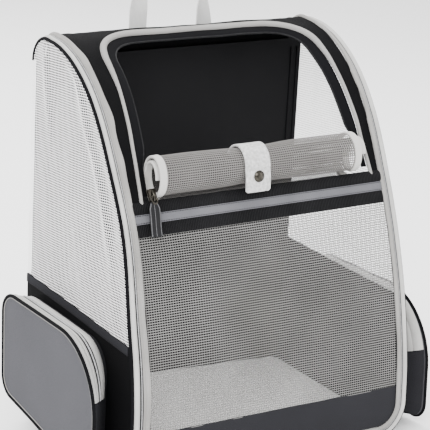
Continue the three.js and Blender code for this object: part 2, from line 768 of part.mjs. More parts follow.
function floorMat() {
  const front = -halfDepth + sideEdgeInset + matSideGap;
  const back = innerBackY(baseThickness + matThickness) - matSideGap;
  const foot = baseThickness + clearance;
  const matHalfWidth = halfWidth - matInset;
  const section = matEdge.map((row) => ({
    x: row.across * matHalfWidth,
    z: foot + row.up * matThickness,
  }));
  const shape = new THREE.Shape(section.map((p) => new THREE.Vector2(p.x, p.z)));
  for (const p of [...section].reverse()) shape.lineTo(-p.x, p.z);
  const geometry = new THREE.ExtrudeGeometry(shape, { depth: back - front, bevelEnabled: false });
  const mesh = namedMesh('floor_mat', colours.mat, geometry);
  mesh.rotation.x = Math.PI / 2;
  mesh.position.y = back;
  return mesh;
}

// The side pockets. Each outline is four rounded corners, as shares of the pocket's reach and height; the
// outer face is larger than the foot on the wall, so the gusset flares.
const pocketReach = 198;
const pocketHeight = 143;
const pocketFront = -108;
const pocketFoot = 15;
const pocketFace = [
  { along: 0, up: 0, radius: 0.09 },
  { along: 1, up: 0.24, radius: 0.11 },
  { along: 1, up: 1, radius: 0.11 },
  { along: 0, up: 0.95, radius: 0.38 },
];
const pocketRoot = [
  { along: 0.21, up: 0.05, radius: 0.07 },
  { along: 1.03, up: 0.22, radius: 0.09 },
  { along: 1.03, up: 0.91, radius: 0.08 },
  { along: 0.21, up: 0.85, radius: 0.18 },
];
const pocketCornerSteps = 6;
const pocketEdgeSteps = 4;

// Points round a four-cornered outline, with arcs in its corners and the same count on every outline.
function pocketOutline(corners, inset) {
  const points = corners.map(
    (c) => new THREE.Vector2(pocketFront + c.along * pocketReach, pocketFoot + c.up * pocketHeight),
  );
  const line = [];
  corners.forEach((corner, i) => {
    const here = points[i];
    const before = points[(i + corners.length - 1) % corners.length];
    const after = points[(i + 1) % corners.length];
    const back = before.clone().sub(here).normalize();
    const ahead = after.clone().sub(here).normalize();
    const half = Math.acos(back.dot(ahead)) / 2;
    const radius = corner.radius * pocketReach;
    const bisector = back.clone().add(ahead).normalize();
    const arcCentre = here.clone().addScaledVector(bisector, radius / Math.sin(half));
    const start = here.clone().addScaledVector(back, radius / Math.tan(half)).sub(arcCentre);
    const end = here.clone().addScaledVector(ahead, radius / Math.tan(half)).sub(arcCentre);
    const from = start.angle();
    const sweep = ((end.angle() - from + 3 * Math.PI) % (2 * Math.PI)) - Math.PI;
    for (const share of spread(0, 1, pocketCornerSteps)) {
      const angle = from + sweep * share;
      const outwards = new THREE.Vector2(Math.cos(angle), Math.sin(angle));
      line.push(outwards.multiplyScalar(radius - inset).add(arcCentre));
    }
  });
  // Extra points along each straight edge.
  const full = [];
  const perCorner = pocketCornerSteps + 1;
  line.forEach((point, i) => {
    full.push(point);
    if (i % perCorner === perCorner - 1) {
      const next = line[(i + 1) % line.length];
      const between = spread(0, 1, pocketEdgeSteps).slice(1, -1);
      full.push(...between.map((share) => point.clone().lerp(next, share)));
    }
  });
  return full;
}

const pocketFaceX = halfWidth + pocketThickness;

// Points of the gusset at a share of its width, from the wall to the face, raised along its own normal.
function gussetRing(side, share, rise) {
  const root = pocketOutline(pocketRoot, 0).map(
    (p) => new THREE.Vector3(sideX(p.y) + clearance, p.x, p.y),
  );
  const rim = pocketOutline(pocketFace, 0).map((p) => new THREE.Vector3(pocketFaceX, p.x, p.y));
  const count = root.length;
  return root.map((p, i) => {
    const across = rim[i].clone().sub(p);
    const next = root[(i + 1) % count].clone().lerp(rim[(i + 1) % count], share);
    const last = root[(i + count - 1) % count].clone().lerp(rim[(i + count - 1) % count], share);
    const normal = new THREE.Vector3().crossVectors(across, next.sub(last)).setX(0).normalize();
    const point = p.clone().addScaledVector(across, share).addScaledVector(normal, -rise);
    return point.setX(side * THREE.MathUtils.lerp(sideX(point.z) + clearance, pocketFaceX, share));
  });
}

function sidePocket(side) {
  const word = side < 0 ? 'left' : 'right';
  const rimShare = 1 - (pipingRadius + clearance) / pocketThickness;
  const rings = (rise) => {
    const shares = [0, 0.5, rimShare];
    const made = shares.map((share) => gussetRing(side, share, rise));
    return made[0].map((unused, i) => made.map((ring) => ring[i]));
  };
  const gusset = wall(`pocket_gusset_${word}`, colours.black, rings(0), rings(-clothThickness), true);
  const face = pocketPlate(side, word);
  return [gusset, pocketTape(side, word), face, pocketPiping(side, word)];
}

// The zip tape covers most of the gusset, from half way down its rear edge over the top to the front.
function pocketTape(side, word) {
  const perCorner = pocketCornerSteps + pocketEdgeSteps;
  const firstIndex = 2 * perCorner - 1;
  const lastIndex = 3 * perCorner + pocketCornerSteps;
  const shares = [pocketTapeEdge, 0.5, 1 - pocketTapeEdge];
  const layer = (rise) => {
    const made = shares.map((share) => gussetRing(side, share, rise).slice(firstIndex, lastIndex + 1));
    return made[0].map((unused, i) => made.map((ring) => ring[i]));
  };
  const outside = clearance + tapeThickness;
  return wall(`pocket_zip_tape_${word}`, colours.paleTrim, layer(outside), layer(clearance));
}

function pocketPlate(side, word) {
  const inset = pipingRadius + clearance;
  const points = pocketOutline(pocketFace, inset);
  const shape = new THREE.Shape(points);
  const geometry = new THREE.ExtrudeGeometry(shape, { depth: clothThickness, bevelEnabled: false });
  const mesh = namedMesh(`pocket_face_${word}`, colours.charcoal, geometry);
  mesh.rotation.set(Math.PI / 2, Math.PI / 2, 0);
  mesh.position.x = side * pocketFaceX - clothThickness / 2;
  return mesh;
}

function pocketPiping(side, word) {
  const points = pocketOutline(pocketFace, 0);
  const stations = points.map((p, i) => {
    const before = points[(i + points.length - 1) % points.length];
    const after = points[(i + 1) % points.length];
    const along = after.clone().sub(before).normalize();
    return {
      centre: new THREE.Vector3(side * pocketFaceX, p.x, p.y),
      across: new THREE.Vector3(1, 0, 0),
      out: new THREE.Vector3(0, along.y, -along.x),
    };
  });
  return cord(`pocket_piping_${word}`, colours.black, stations, pipingRadius, pipingSides, true);
}

// The carrying handle: one webbing whose two feet lie flat on the back's top and whose loop stands up and
// turns edge on. Across and up are shares of half the spacing and of the loop's rise, turn is in degrees,
// and off is how far the webbing has stepped out over the top panel's edge, as a share of that step.
const handleRoute = [
  { across: -1, up: -0.3, turn: 0, off: 0 },
  { across: -1, up: -0.18, turn: 0, off: 0.14 },
  { across: -1, up: -0.05, turn: 0, off: 1 },
  { across: -1, up: 0.25, turn: 0, off: 1 },
  { across: -0.99, up: 0.45, turn: 0, off: 1 },
  { across: -0.93, up: 0.66, turn: 22, off: 1 },
  { across: -0.72, up: 0.87, turn: 64, off: 1 },
  { across: -0.4, up: 0.985, turn: 86, off: 1 },
  { across: 0, up: 1, turn: 90, off: 1 },
  { across: 0.4, up: 0.975, turn: 92, off: 1 },
  { across: 0.7, up: 0.84, turn: 104, off: 1 },
  { across: 0.87, up: 0.64, turn: 128, off: 1 },
  { across: 0.95, up: 0.42, turn: 158, off: 1 },
  { across: 1, up: 0.2, turn: 176, off: 1 },
  { across: 1, up: -0.05, turn: 180, off: 1 },
  { across: 1, up: -0.18, turn: 180, off: 0.14 },
  { across: 1, up: -0.3, turn: 180, off: 0 },
];

function carryHandle() {
  const rootZ = rearArcZ;
  const loopRise = bodyHeight + handleRise - rootZ;
  const standOff = clearance + webbingThickness / 2;
  const middle = new THREE.CatmullRomCurve3(
    handleRoute.map((row) => {
      const along = row.up < 0 ? (row.up / -handleRoute[0].up) * handleFootLength : row.up * loopRise;
      return backUp
        .clone()
        .multiplyScalar(rootZ * backStretch + along)
        .add(new THREE.Vector3((row.across * handleSpacing) / 2, halfDepth, 0))
        .addScaledVector(backNormal, standOff + row.off * (frontRise + clearance));
    }),
    false,
    'centripetal',
  );
  const steps = 48;
  const last = handleRoute.length - 1;
  const rows = spread(0, 1, steps).map((share) => {
    const at = share * last;
    const index = Math.min(Math.floor(at), last - 1);
    const degrees = THREE.MathUtils.lerp(handleRoute[index].turn, handleRoute[index + 1].turn, at - index);
    const along = middle.getTangent(share);
    const turn = THREE.MathUtils.degToRad(degrees);
    const flat = new THREE.Vector3().crossVectors(backNormal, along).normalize();
    const edge = flat.multiplyScalar(Math.cos(turn)).addScaledVector(backNormal, Math.sin(turn));
    edge.normalize();
    const face = new THREE.Vector3().crossVectors(along, edge).normalize();
    return { centre: middle.getPoint(share), edge, face };
  });
  const layer = (shift) =>
    rows.map(({ centre, edge, face }) =>
      [-webbingWidth / 2, webbingWidth / 2].map((w) =>
        centre.clone().addScaledVector(edge, w).addScaledVector(face, shift),
      ),
    );
  return wall('carry_handle', colours.paleTrim, layer(webbingThickness / 2), layer(-webbingThickness / 2));
}

// A shoulder strap: rows down the back, each a height and a place across as shares of the body, and how far
// it stands off the back as a share of the pad's greatest stand-off.
const shoulderStandOff = 40;
const shoulderRoute = [
  { up: 0.83, across: 0.3, off: 0 },
  { up: 0.8, across: 0.3, off: 0.02 },
  { up: 0.755, across: 0.32, off: 0.34 },
  { up: 0.68, across: 0.37, off: 0.76 },
  { up: 0.59, across: 0.42, off: 0.98 },
  { up: 0.5, across: 0.46, off: 1 },
  { up: 0.41, across: 0.49, off: 0.86 },
  { up: 0.33, across: 0.515, off: 0.62 },
];
const webbingRoute = [
  { up: 0.225, across: 0.575, off: 0.36 },
  { up: 0.16, across: 0.61, off: 0.19 },
  { up: 0.1, across: 0.65, off: 0.03 },
  { up: 0.05, across: 0.68, off: 0 },
];

const padSteps = 14;
const webbingSteps = 9;

function strapPoints(route, side, thickness) {
  return route.map((row) => {
    const z = row.up * bodyHeight;
    return new THREE.Vector3(side * row.across * halfWidth, backY(z), z).addScaledVector(
      backNormal,
      row.off * shoulderStandOff + clearance + thickness / 2,
    );
  });
}

function strapWall(name, material, curve, steps, width, thickness) {
  const rows = spread(0, 1, steps).map((share) => {
    const along = curve.getTangent(share);
    return { centre: curve.getPoint(share), face: new THREE.Vector3(1, 0, 0).cross(along).normalize() };
  });
  const layer = (shift) =>
    rows.map(({ centre, face }) =>
      [-width / 2, width / 2].map((w) => centre.clone().addScaledVector(face, shift).setX(centre.x + w)),
    );
  return wall(name, material, layer(thickness / 2), layer(-thickness / 2));
}

// The buckle hangs in line with the pad's end: a frame with a bar across its middle.
function strapBuckle(name, padEnd, along) {
  const shape = roundedPlate(buckleWidth, buckleHeight, buckleCorner);
  const slotWidth = lowerWebbingWidth + 2 * clearance;
  const slotHeight = (buckleHeight - 3 * buckleBar) / 2;
  for (const sign of [-1, 1]) {
    const middle = (sign * (slotHeight + buckleBar)) / 2;
    const slot = new THREE.Path();
    slot.moveTo(-slotWidth / 2, middle - slotHeight / 2);
    slot.lineTo(-slotWidth / 2, middle + slotHeight / 2);
    slot.lineTo(slotWidth / 2, middle + slotHeight / 2);
    slot.lineTo(slotWidth / 2, middle - slotHeight / 2);
    shape.holes.push(slot);
  }
  const cut = { depth: buckleThickness, bevelEnabled: false, curveSegments: 3 };
  const geometry = new THREE.ExtrudeGeometry(shape, cut);
  geometry.translate(0, 0, -buckleThickness / 2);
  const mesh = namedMesh(name, colours.plastic, geometry);
  mesh.rotation.x = Math.atan2(-along.z, -along.y);
  mesh.position.copy(padEnd).addScaledVector(along, clearance + buckleHeight / 2);
  return mesh;
}

function shoulderStrap(side) {
  const word = side < 0 ? 'left' : 'right';
  const pad = new THREE.CatmullRomCurve3(strapPoints(shoulderRoute, side, shoulderPadThickness));
  const padEnd = pad.getPoint(1);
  const along = pad.getTangent(1).setX(0).normalize();
  const webbingStart = padEnd.clone().addScaledVector(along, 2 * clearance + buckleHeight);
  const webbing = new THREE.CatmullRomCurve3([
    webbingStart,
    ...strapPoints(webbingRoute, side, webbingThickness),
  ]);
  return [
    strapWall(
      `shoulder_pad_${word}`, colours.black, pad, padSteps, shoulderPadWidth, shoulderPadThickness,
    ),
    strapBuckle(`strap_buckle_${word}`, padEnd, along),
    strapWall(
      `strap_webbing_${word}`, colours.black, webbing, webbingSteps, lowerWebbingWidth, webbingThickness,
    ),
  ];
}

const carrier = new THREE.Group();
carrier.add(
  basePanel(),
  floorMat(),
  backPanel(),
  ...[-1, 1].flatMap((side) => [sideMesh(side), sideLower(side)]),
  ...zipBands(),
  zipCoil(),
  frontPiping(),
  ...lowerFront(),
  upperPanel(),
  windowPiping(),
  windowLip(),
  ...rolledFlap(),
  snapStrap(),
  snapCap(),
  ...zipSlider(),
  ...[-1, 1].flatMap((side) => sidePocket(side)),
  carryHandle(),
  ...[-1, 1].flatMap((side) => shoulderStrap(side)),
);

export default carrier;
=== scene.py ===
import math
from functools import cache

import bpy
from mathutils import Matrix, Vector, noise


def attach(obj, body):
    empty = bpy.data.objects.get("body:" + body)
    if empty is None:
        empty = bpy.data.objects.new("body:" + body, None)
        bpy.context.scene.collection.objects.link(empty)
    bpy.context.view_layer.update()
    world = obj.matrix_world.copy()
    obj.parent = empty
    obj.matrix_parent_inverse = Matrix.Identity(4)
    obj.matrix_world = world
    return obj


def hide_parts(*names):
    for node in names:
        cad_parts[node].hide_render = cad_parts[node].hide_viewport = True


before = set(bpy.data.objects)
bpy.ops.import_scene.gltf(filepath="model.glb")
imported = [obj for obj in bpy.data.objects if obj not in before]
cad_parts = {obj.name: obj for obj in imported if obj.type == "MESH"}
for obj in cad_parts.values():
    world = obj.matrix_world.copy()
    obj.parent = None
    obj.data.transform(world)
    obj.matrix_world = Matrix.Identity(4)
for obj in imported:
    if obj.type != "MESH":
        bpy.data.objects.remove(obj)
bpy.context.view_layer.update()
print("frame loaded,", len(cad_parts), "nodes")

mm = 0.001  # all shapes below are worked out in millimetres


# camera and light

view = {
    "azimuth": -33.506,
    "elevation": 14.074,
    "roll": 2.171,
    "distance": 1712.7,
    "target": (-7.605, 0, 234.938),
    "lens": 139.46,
}


def deselect():
    bpy.ops.object.select_all(action="DESELECT")


def placeCamera():
    turn, rise, roll = (math.radians(view[k]) for k in ("azimuth", "elevation", "roll"))
    back = Vector((math.sin(turn) * math.cos(rise), -math.cos(turn) * math.cos(rise), math.sin(rise)))
    right = Vector((math.cos(turn), math.sin(turn), 0))
    up = back.cross(right)
    rolledRight = right * math.cos(roll) + up * math.sin(roll)
    rolledUp = up * math.cos(roll) - right * math.sin(roll)
    deselect()
    bpy.ops.object.camera_add()
    camera = bpy.context.object
    camera.name = "photoCamera"
    camera.data.lens = view["lens"]
    turned = Matrix((rolledRight, rolledUp, back)).transposed().to_4x4()
    turned.translation = (Vector(view["target"]) + back * view["distance"]) * mm
    camera.matrix_world = turned
    bpy.context.scene.camera = camera


studio = {
    "floorSize": 40.0,
    "floorColour": (0.93, 0.93, 0.93),
    "floorRoughness": 0.6,
    "worldColour": (1.0, 1.0, 1.0),
    "worldStrength": 2.0,
    "aim": (0, 0, 0.2),
    "lamps": [
        {"name": "keyLamp", "place": (-2.3, -2.2, 2.4), "size": 2.2, "power": 190},
        {"name": "fillLamp", "place": (2.4, -1.8, 1.5), "size": 2.4, "power": 45},
        {"name": "topLamp", "place": (0.2, 0.9, 2.8), "size": 2.0, "power": 85},
        {"name": "backLamp", "place": (-0.6, 3.0, 1.8), "size": 2.2, "power": 80},
    ],
}


def lightStudio():
    deselect()
    bpy.ops.mesh.primitive_plane_add(size=studio["floorSize"])
    floor = bpy.context.object
    floor.name = "studioFloor"
    floorFinish = bpy.data.materials.new("studioFloor")
    floorFinish.use_nodes = True
    shader = floorFinish.node_tree.nodes["Principled BSDF"]
    shader.inputs["Base Color"].default_value = (*studio["floorColour"], 1)
    shader.inputs["Roughness"].default_value = studio["floorRoughness"]
    floor.data.materials.append(floorFinish)
    for lamp in studio["lamps"]:
        place = Vector(lamp["place"])
        bpy.ops.object.light_add(type="AREA", location=place)
        light = bpy.context.object
        light.name = lamp["name"]
        light.data.size = lamp["size"]
        light.data.energy = lamp["power"]
        light.rotation_euler = (place - Vector(studio["aim"])).to_track_quat("Z", "Y").to_euler()
    world = bpy.data.worlds.new("studioWorld")
    world.use_nodes = True
    background = world.node_tree.nodes["Background"]
    background.inputs["Color"].default_value = (*studio["worldColour"], 1)
    background.inputs["Strength"].default_value = studio["worldStrength"]
    bpy.context.scene.world = world


placeCamera()
lightStudio()
print("camera and studio ready")


# the carrier's side outline, which every front piece follows

body = {
    "halfWidth": 165.0,
    "halfDepth": 116.0,
    "height": 420.0,
    "backLean": 12.0,
    "topRearRadius": 26.0,
    "lowerCorner": 42.0,
    "frontRise": 4.0,
    "rearRise": 2.3,
    # the front's side view: share of the height, and how far it leans back as a share of the depth
    "curve": [(0, 0), (0.1, 0), (0.2, 0.001), (0.35, 0.036), (0.5, 0.108), (0.65, 0.207),
              (0.8, 0.33), (0.9, 0.46), (0.96, 0.598), (0.99, 0.727)],
    # steps of the curve, and of the arc that rounds the top into the back
    "samples": 90,
    "arcSamples": 14,
}
halfWidth, halfDepth, height = body["halfWidth"], body["halfDepth"], body["height"]
backSlope = body["backLean"] / height
backStretch = math.hypot(1, backSlope)
backNormal = Vector((0, 1 / backStretch, backSlope / backStretch))
backUp = Vector((0, -backSlope / backStretch, 1 / backStretch))
rearArcZ = height - body["topRearRadius"]
rearArcY = halfDepth - backSlope * rearArcZ - body["topRearRadius"] * backStretch


def backY(z):
    return halfDepth - backSlope * z


def smooth(low, high, value):
    t = min(max((value - low) / (high - low), 0), 1)
    return t * t * (3 - 2 * t)


def mix(a, b, t):
    return a + (b - a) * t


def spread(low, high, steps):
    return [mix(low, high, i / steps) for i in range(steps + 1)]


def splinePoints(knots, perSpan=24):
    # a centripetal curve through the knots, as close points
    ends = [knots[0] * 2 - knots[1], *knots, knots[-1] * 2 - knots[-2]]
    found = []
    for a, b, c, d in zip(ends, ends[1:], ends[2:], ends[3:]):
        before, span, after = ((q - p).length ** 0.5 for p, q in ((a, b), (b, c), (c, d)))
        into = ((b - a) / before - (c - a) / (before + span) + (c - b) / span) * span
        out = ((c - b) / span - (d - b) / (span + after) + (d - c) / after) * span
        for k in range(perSpan):
            t = k / perSpan
            found.append(b + into * t + (c * 3 - b * 3 - into * 2 - out) * t ** 2
                         + (b * 2 - c * 2 + into + out) * t ** 3)
    return [*found, knots[-1].copy()]


def lengthsAlong(points):
    # how far along a line each of its points lies
    lengths = [0.0]
    for a, b in zip(points, points[1:]):
        lengths.append(lengths[-1] + (b - a).length)
    return lengths


def directionAt(line, k):
    return (line[min(k + 1, len(line) - 1)] - line[max(k - 1, 0)]).normalized()


def ripple(a, b, seed):
    # a smooth random value between about -0.6 and 0.6, the same on each run
    return noise.noise(Vector((a, b, seed)))


def evenPoints(points, steps):
    lengths = lengthsAlong(points)
    found, k = [], 0
    for target in spread(0, lengths[-1], steps):
        while k < len(points) - 2 and lengths[k + 1] < target:
            k += 1
        found.append(points[k].lerp(points[k + 1], (target - lengths[k]) / (lengths[k + 1] - lengths[k])))
    return found


def traceOutline():
    knots = [Vector((0, -halfDepth + back * 2 * halfDepth, up * height)) for up, back in body["curve"]]
    knots.append(Vector((0, rearArcY, height)))
    line = evenPoints(splinePoints(knots), body["samples"])
    lastAngle = math.atan2(backNormal.z, backNormal.y)
    radius = body["topRearRadius"]
    for angle in spread(math.pi / 2, lastAngle, body["arcSamples"])[1:]:
        line.append(Vector((0, rearArcY + radius * math.cos(angle), rearArcZ + radius * math.sin(angle))))
    return line


outline = traceOutline()
outlineSoFar = lengthsAlong(outline)
outlineLength = outlineSoFar[-1]
rearArcLength = outlineSoFar[body["samples"]]


@cache
def outlineAt(length):
    # the outline's point at a length from its foot, and its outward direction there
    k = 1
    while k < len(outline) - 1 and outlineSoFar[k] < length:
        k += 1
    share = (length - outlineSoFar[k - 1]) / (outlineSoFar[k] - outlineSoFar[k - 1])
    slope = directionAt(outline, k - 1).lerp(directionAt(outline, k), min(max(share, 0), 1)).normalized()
    return outline[k - 1] + (outline[k] - outline[k - 1]) * share, Vector((0, -slope.z, slope.y))


def lengthAtHeight(z):
    for k in range(1, len(outline)):
        if outline[k].z >= z:
            share = (z - outline[k - 1].z) / (outline[k].z - outline[k - 1].z)
            return mix(outlineSoFar[k - 1], outlineSoFar[k], share)
    return rearArcLength


tuck = {
    # the left zip band narrows from one length to another, and the front's cloth reaches out to it
    "wide": 3.8,
    "foot": 100,
    "full": 290,
    # across the front: where the cloth starts to reach out, the band's inner edge and its outer edge
    "start": -50,
    "edge": -147.4,
    "end": -161.5,
}


def tucked(x, length):
    evenly = min(max((x - tuck["end"]) / (tuck["edge"] - tuck["end"]), 0), 1)
    share = smooth(tuck["start"], tuck["edge"], x) * evenly
    return x - tuck["wide"] * share * smooth(tuck["foot"], tuck["full"], length)


def front(x, length, rise):
    # a point of the front: across, along the outline, and outside it
    place, out = outlineAt(length)
    return Vector((tucked(x, length), 0, 0)) + place + out * rise


def riseAt(length):
    return mix(body["frontRise"], body["rearRise"], smooth(rearArcLength, outlineLength, length))


slump = {
    # the filled carrier leans a little: its left side sits lower than its right, more and more from one
    # height to another, and all that is above drops
    "from": 60,
    "seams": 265,
    "tilt": 3.4,
    "drop": 3.5,
}

flare = {
    # height, widening and backward step of the front, in mm
    "steps": [(0, 5.2, 3.0), (150, 2.4, 3.4), (265, -1.6, -2.0), (330, 0, 0), (600, 0, 0)],
    # it starts at one depth and is full at the other
    "from": 40,
    "to": -100,
    # the side pockets take less of it
    "pocketsFrom": 166,
    "pocketsTo": 206,
    "pocketsLess": 0.6,
}


def flared(p):
    for (lowZ, lowWide, lowBack), (highZ, highWide, highBack) in zip(flare["steps"], flare["steps"][1:]):
        if p.z <= highZ:
            share = smooth(lowZ, highZ, p.z)
            aside = smooth(flare["pocketsFrom"], flare["pocketsTo"], abs(p.x))
            weight = smooth(flare["from"], flare["to"], p.y) * (1 - flare["pocketsLess"] * aside)
            wide = mix(lowWide, highWide, share) * p.x / halfWidth
            return p + Vector((wide, mix(lowBack, highBack, share), 0)) * weight
    return p


def settled(p):
    # a worked-out point in its place in the scene, in metres
    p = flared(p)
    tilt = slump["tilt"] * smooth(slump["from"], slump["seams"], p.z)
    drop = slump["drop"] * smooth(slump["seams"], height, p.z)
    return Vector((p.x, p.y, p.z + tilt * p.x / halfWidth - drop)) * mm


# how pieces are made

def pick(*pieces):
    deselect()
    for piece in pieces:
        piece.select_set(True)
    bpy.context.view_layer.objects.active = pieces[0]


def applyModifiers(piece):
    pick(piece)
    for modifier in list(piece.modifiers):
        bpy.ops.object.modifier_apply(modifier=modifier.name)


def inEditMode(piece, *steps):
    pick(piece)
    bpy.ops.object.mode_set(mode="EDIT")
    for step in steps:
        step()
    bpy.ops.object.mode_set(mode="OBJECT")


def selectMesh():
    bpy.ops.mesh.select_all(action="SELECT")


def faceOut():
    selectMesh()
    bpy.ops.mesh.normals_make_consistent(inside=False)


def weld():
    selectMesh()
    bpy.ops.mesh.remove_doubles(threshold=0.01 * mm)


def closeEnds():
    selectMesh()
    bpy.ops.mesh.fill_holes(sides=0)


def bridgeRims():
    # two open sheets become one closed pad
    bpy.ops.mesh.select_mode(type="EDGE")
    bpy.ops.mesh.select_all(action="DESELECT")
    bpy.ops.mesh.select_non_manifold()
    bpy.ops.mesh.bridge_edge_loops()


def smoothShade(degrees):
    bpy.ops.object.shade_smooth_by_angle(angle=math.radians(degrees))


def sheetGrid(name, rows):
    # a grid laid on rows of points, with its own map in metres along the cloth
    down, across = len(rows) - 1, len(rows[0]) - 1
    deselect()
    bpy.ops.mesh.primitive_grid_add(x_subdivisions=across, y_subdivisions=down, size=1)
    piece = bpy.context.object
    piece.name = name
    piece.data.name = name
    placed = [settled(p) for row in rows for p in row]
    piece.data.vertices.foreach_set("co", [c for p in placed for c in p])
    middleRow = placed[(down // 2) * (across + 1):(down // 2 + 1) * (across + 1)]
    middleColumn = placed[across // 2::across + 1]
    sums = [lengthsAlong(line) for line in (middleRow, middleColumn)]
    clothMap = piece.data.uv_layers.active
    for loop in piece.data.loops:
        k = loop.vertex_index
        clothMap.uv[loop.index].vector = (sums[0][k % (across + 1)], sums[1][k // (across + 1)])
    piece.data.update()
    return piece


def clothSheet(name, rows, thick, offset=0.0, softEdge=0.0, segments=2, welded=False):
    # a grid of real thickness, its edges rounded where softEdge gives a radius
    piece = sheetGrid(name, rows)
    if welded:
        inEditMode(piece, weld)
    wall = piece.modifiers.new("thickness", "SOLIDIFY")
    wall.thickness = thick * mm
    wall.offset = offset
    if softEdge:
        edge = piece.modifiers.new("softEdge", "BEVEL")
        edge.width = softEdge * mm
        edge.segments = segments
        edge.limit_method = "ANGLE"
        edge.angle_limit = math.radians(50)
    applyModifiers(piece)
    inEditMode(piece, faceOut)
    smoothShade(45)
    return piece


def tube(name, centres, radius, sides, closed=False):
    # a round cord along points; radius may be a list, one for each point
    last = len(centres) - 1
    radii = radius if isinstance(radius, list) else [radius] * len(centres)
    side = None
    rows = []
    for k, centre in enumerate(centres):
        before = centres[k - 1] if k > 0 or closed else centre
        after = centres[(k + 1) % (last + 1)] if k < last or closed else centre
        along = (after - before).normalized()
        guess = side if side is not None else Vector((0.31, 0.22, 0.93))
        side = (guess - along * guess.dot(along)).normalized()
        other = along.cross(side)
        rows.append([centre + side * math.cos(t) * radii[k] + other * math.sin(t) * radii[k]
                     for t in spread(0, 2 * math.pi, sides)])
    if closed:
        rows.append(rows[0])
    piece = sheetGrid(name, rows)
    inEditMode(piece, weld, *([] if closed else [closeEnds]), faceOut)
    smoothShade(60)
    return piece


def strands(name, lines, width, thick, sides=6):
    # many strands of one net in one grid: each line is its points and the net's outward directions there
    rows = []
    for points, outs in lines:
        frames = []
        for k, (point, out) in enumerate(zip(points, outs)):
            frames.append((point, directionAt(points, k).cross(out).normalized(), out))
        for t in spread(0, 2 * math.pi, sides):
            across, high = math.cos(t) * width / 2, math.sin(t) * thick / 2
            rows.append([point + side * across + out * high for point, side, out in frames])
    piece = sheetGrid(name, rows)
    # the faces that lead from one strand to the next go
    columns = len(rows[0]) - 1
    inEditMode(piece, lambda: bpy.ops.mesh.select_mode(type="FACE"),
               lambda: bpy.ops.mesh.select_all(action="DESELECT"))
    for face in piece.data.polygons:
        face.select = face.index // columns % (sides + 1) == sides
    inEditMode(piece, lambda: bpy.ops.mesh.delete(type="FACE"), weld, closeEnds, faceOut)
    smoothShade(65)
    return piece


def joinPieces(name, pieces):
    pick(*pieces)
    bpy.ops.object.join()
    pieces[0].name = name
    return pieces[0]


def give(piece, finish, slot, *nodes):
    # a finish by its name, the material slot (not used), and the CAD nodes that the piece stands for
    piece.data.materials.clear()
    piece.data.materials.append(finishes[finish])
    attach(piece, "root")
    if nodes:
        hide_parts(*nodes)


def stitches(name, line, finish, slot, thread, pitch=3.6):
    # a row of stitches: one thread that narrows as it dips under between them
    dips = (0.15, 1.0, 1.0, 1.0, 0.15)
    count = max(int(lengthsAlong(line)[-1] / pitch), 2) * len(dips)
    radii = [thread * dips[k % len(dips)] for k in range(count)]
    give(tube(name, evenPoints(line, count - 1), radii, sides=6), finish, slot)


coilPitch = 1.5


def zipCoil(name, line, radius, waist):
    # the coil's turns show as a cord that swells and narrows
    count = int(lengthsAlong(line)[-1] / coilPitch * 2)
    radii = [radius * (1.0 if k % 2 else waist) for k in range(count + 1)]
    return tube(name, evenPoints(line, count), radii, sides=8)


# finishes

look = {
    "specular": 0.06,
    "metalSpecular": 0.5,
    "wovenRough": 0.85,
    "sheenRough": 0.5,
    "netRough": 0.7,
    "ribbedRelief": 0.15,
    "wovenRelief": 0.3,
    # scales of the fibre grain and of the slow shade changes, in turns a metre
    "fibres": 2600,
    "wovenGrain": 900,
    "wovenSlow": 14,
    "ribbedSlow": 18,
    "netSlow": 20,
}


def newFinish(name):
    finish = bpy.data.materials.new(name)
    finish.use_nodes = True
    shader = finish.node_tree.nodes["Principled BSDF"]
    shader.inputs["Specular IOR Level"].default_value = look["specular"]
    return finish, finish.node_tree, shader


def maths(tree, kind, a, b=None):
    node = tree.nodes.new("ShaderNodeMath")
    node.operation = kind
    for socket, value in zip(node.inputs, (a, b)):
        if isinstance(value, (int, float)):
            socket.default_value = value
        elif value is not None:
            tree.links.new(value, socket)
    return node.outputs[0]


def times(tree, value, factor):
    return maths(tree, "MULTIPLY", value, factor)


def plus(tree, a, b):
    return maths(tree, "ADD", a, b)


def coordinates(tree, kind):
    # a coordinate and its separate axes
    place = tree.nodes.new("ShaderNodeTexCoord").outputs[kind]
    split = tree.nodes.new("ShaderNodeSeparateXYZ")
    tree.links.new(place, split.inputs[0])
    return place, split.outputs


def grain(tree, place, scale, detail):
    texture = tree.nodes.new("ShaderNodeTexNoise")
    texture.inputs["Scale"].default_value = scale
    texture.inputs["Detail"].default_value = detail
    tree.links.new(place, texture.inputs["Vector"])
    return texture.outputs["Fac"]


def colour(tree, shader, value, low, high, dark, light):
    ramp = tree.nodes.new("ShaderNodeValToRGB")
    for element, position, shade in zip(ramp.color_ramp.elements, (low, high), (dark, light)):
        element.position = position
        element.color = (*shade, 1)
    tree.links.new(value, ramp.inputs[0])
    tree.links.new(ramp.outputs[0], shader.inputs["Base Color"])


def bump(tree, shader, heights, strength, depth):
    node = tree.nodes.new("ShaderNodeBump")
    node.inputs["Strength"].default_value = strength
    node.inputs["Distance"].default_value = depth * mm
    tree.links.new(heights, node.inputs["Height"])
    tree.links.new(node.outputs[0], shader.inputs["Normal"])


